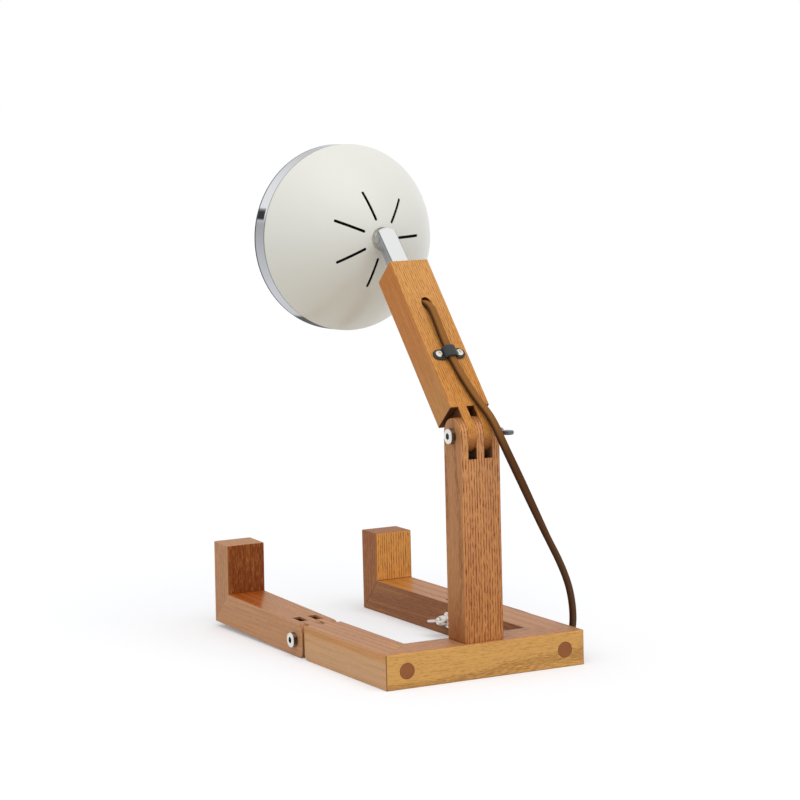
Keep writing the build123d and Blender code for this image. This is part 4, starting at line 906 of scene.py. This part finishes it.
def flat_tube(name, line, wide_ways, material):
    """A flat-oval section with a shallow valley along both wide sides, carried along a line.
    wide_ways gives, at distances along the line, the direction that the section is wide in; it
    turns smoothly between them."""
    reach = distances(line)
    tangent = np.gradient(line, axis=0)
    tangent /= np.linalg.norm(tangent, axis=1)[:, None]
    stops = np.array([stop for stop, _ in wide_ways])
    ways = np.array([way for _, way in wide_ways], float)
    wide = np.stack([np.interp(reach, stops, ways[:, axis]) for axis in range(3)], axis=1)
    wide -= (wide * tangent).sum(1)[:, None] * tangent
    wide /= np.linalg.norm(wide, axis=1)[:, None]
    thin = np.cross(tangent, wide)
    count = 24
    angle = np.arange(count) * TURN / count
    cos, sin = np.cos(angle), np.sin(angle)
    across = CORD_WIDE / 2 * signed_power(cos, 0.86)
    valley = 1 - CORD_VALLEY * np.exp(-(cos / 0.3) ** 2)
    up = CORD_THIN / 2 * signed_power(sin, 0.80) * valley
    rings = line[:, None] + wide[:, None] * across[:, None] + thin[:, None] * up[:, None]
    piece = grid_piece(name, [rings], material=material)
    layer = piece.data.uv_layers.new(name="cord")
    corners = np.zeros(len(piece.data.loops), int)
    piece.data.loops.foreach_get("vertex_index", corners)
    ring, spot = corners // count, corners % count
    uv = np.stack([spot / count, reach[ring] * MM], axis=1)
    layer.data.foreach_set("uv", uv.astype(np.float32).ravel())
    return piece


def make_cord():
    route = [tuple(on_arm(*p)) for p in ARM_ROUTE]
    on_arm_count = len(route)
    route += DROP_ROUTE + LINK_ROUTE
    link_end = len(route)
    route += hank_turns() + TAIL_ROUTE
    line = smooth_line("cord_line", route)
    reach = distances(line)

    def distance_of(number):
        nearest = np.argmin(np.linalg.norm(line - np.array(route[number]), axis=1))
        return reach[nearest]

    aslant = (0.78, 0.61, 0.09)
    turning = {2: (0.99, 0.07, 0.05), 4: aslant, 6: aslant, 9: (0.85, 0.50, 0.10), 11: (1.0, 0.2, 0.0)}
    ways = [
        (0.0, X), *[(distance_of(on_arm_count + step), way) for step, way in turning.items()],
        (distance_of(link_end - 4), X), (distance_of(link_end), Z),
        (reach[-1] - 25.0, Z), (reach[-1] - 2.0, X),
    ]
    piece = flat_tube("cord", line, ways, braid())
    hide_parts("cord_on_arm", "cord_drop", "cord_link", "cord_hank", "cord_tail")
    start, end = route[on_arm_count - 1], (-24.0, 36.0, 138.0)
    [c * MM for c in start]
    [c * MM for c in end]
    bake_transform(piece)
    on_cord = ("switch_base", "switch_cover", "switch_screw", "switch_rocker", "switch_terminals")
    on_cord += ("plug_body", "plug_pins", "cord_tie")
    [c * MM for c in on_arm(0.0, 0.0, HOLE_REACH)]


# ---- floor, light and camera ----
FLOOR_GLOW = 0.235


def make_floor():
    """A pale floor: lit and shadowed for every ray, topped up to white for those that look at it."""
    paint = Paint("floor_white", Roughness=1.0, Base_Color=(0.72, 0.72, 0.73), Specular_IOR_Level=0.0)
    seen = paint.tree.nodes.new("ShaderNodeLightPath")
    rays = [Wire(paint, seen.outputs[f"Is {kind} Ray"]) for kind in ("Camera", "Glossy", "Transmission")]
    glow = paint.tree.nodes.new("ShaderNodeEmission")
    glow.inputs["Color"].default_value = (1.0, 1.0, 1.0, 1.0)
    paint.feed(glow.inputs["Strength"], paint.clamped(sum(rays)) * FLOOR_GLOW)
    both = paint.tree.nodes.new("ShaderNodeAddShader")
    paint.tree.links.new(paint.surface.outputs[0], both.inputs[0])
    paint.tree.links.new(glow.outputs[0], both.inputs[1])
    paint.tree.links.new(both.outputs[0], paint.tree.nodes["Material Output"].inputs["Surface"])
    half = 30000.0
    corners = np.array([[(-half, -half, 0), (-half, half, 0)], [(half, -half, 0), (half, half, 0)]])
    grid_piece("floor", [corners], closed_u=False, material=paint.material)


def make_world():
    """An even pale sky, plain white where it is looked at, reflected or seen through glass."""
    world = bpy.data.worlds.new("studio")
    bpy.context.scene.world = world
    world.use_nodes = True
    tree = world.node_tree
    sky = tree.nodes["Background"]
    sky.inputs["Color"].default_value = (0.97, 0.985, 1.0, 1.0)
    sky.inputs["Strength"].default_value = 0.62
    white = tree.nodes.new("ShaderNodeBackground")
    white.inputs["Color"].default_value = (1.0, 1.0, 1.0, 1.0)
    white.inputs["Strength"].default_value = 1.0
    path = tree.nodes.new("ShaderNodeLightPath")
    seen = path.outputs["Is Camera Ray"]
    for kind in ("Is Glossy Ray", "Is Transmission Ray"):
        either = tree.nodes.new("ShaderNodeMath")
        either.operation = "MAXIMUM"
        tree.links.new(seen, either.inputs[0])
        tree.links.new(path.outputs[kind], either.inputs[1])
        seen = either.outputs[0]
    mix = tree.nodes.new("ShaderNodeMixShader")
    tree.links.new(seen, mix.inputs[0])
    tree.links.new(sky.outputs[0], mix.inputs[1])
    tree.links.new(white.outputs[0], mix.inputs[2])
    tree.links.new(mix.outputs[0], tree.nodes["World Output"].inputs["Surface"])


def make_lights():
    """Two broad distant lamps: the key from high above and a little behind, and a weak fill from
    behind the lamp's left."""
    lamps = {
        "key": ((0.05, 0.45, 1.20), 1.50, 60.0),
        "fill": ((0.90, 0.60, 0.50), 0.25, 80.0),
    }
    for name, (way, strength, spread) in lamps.items():
        data = bpy.data.lights.new(name, "SUN")
        data.energy = strength
        data.angle = math.radians(spread)
        lamp = bpy.data.objects.new(name, data)
        lamp.visible_glossy = False
        lamp.rotation_euler = Vector(way).to_track_quat("Z", "Y").to_euler()
        bpy.context.scene.collection.objects.link(lamp)


CAMERA_PLACE = (1.00716, 1.80112, 0.44367)
CAMERA_AZIMUTH, CAMERA_ELEVATION, CAMERA_ROLL = 152.204, 6.66, -1.44
CAMERA_LENS = 129.42


def make_camera():
    """The camera looks back along its azimuth and elevation, rolled about its own axis."""
    azimuth, elevation, roll = (math.radians(a) for a in (CAMERA_AZIMUTH, CAMERA_ELEVATION, CAMERA_ROLL))
    level = math.cos(elevation)
    back = np.array([math.sin(azimuth) * level, -math.cos(azimuth) * level, math.sin(elevation)])
    right = np.cross(-back, Z)
    right /= np.linalg.norm(right)
    up = np.cross(right, -back)
    rolled_right = math.cos(roll) * right + math.sin(roll) * up
    rolled_up = -math.sin(roll) * right + math.cos(roll) * up
    turn = Matrix(np.stack([rolled_right, rolled_up, back], axis=1).tolist())
    data = bpy.data.cameras.new("camera")
    data.lens = CAMERA_LENS
    data.sensor_width = 36.0
    camera = bpy.data.objects.new("camera", data)
    bpy.context.scene.collection.objects.link(camera)
    camera.matrix_world = Matrix.Translation(CAMERA_PLACE) @ turn.to_4x4()
    bpy.context.scene.camera = camera


bpy.context.scene.view_settings.view_transform = "Standard"
make_camera()
make_cord()
paint_timber()
paint_small_parts()
make_clip()
make_wing_nuts()
make_floor()
make_world()
make_lights()
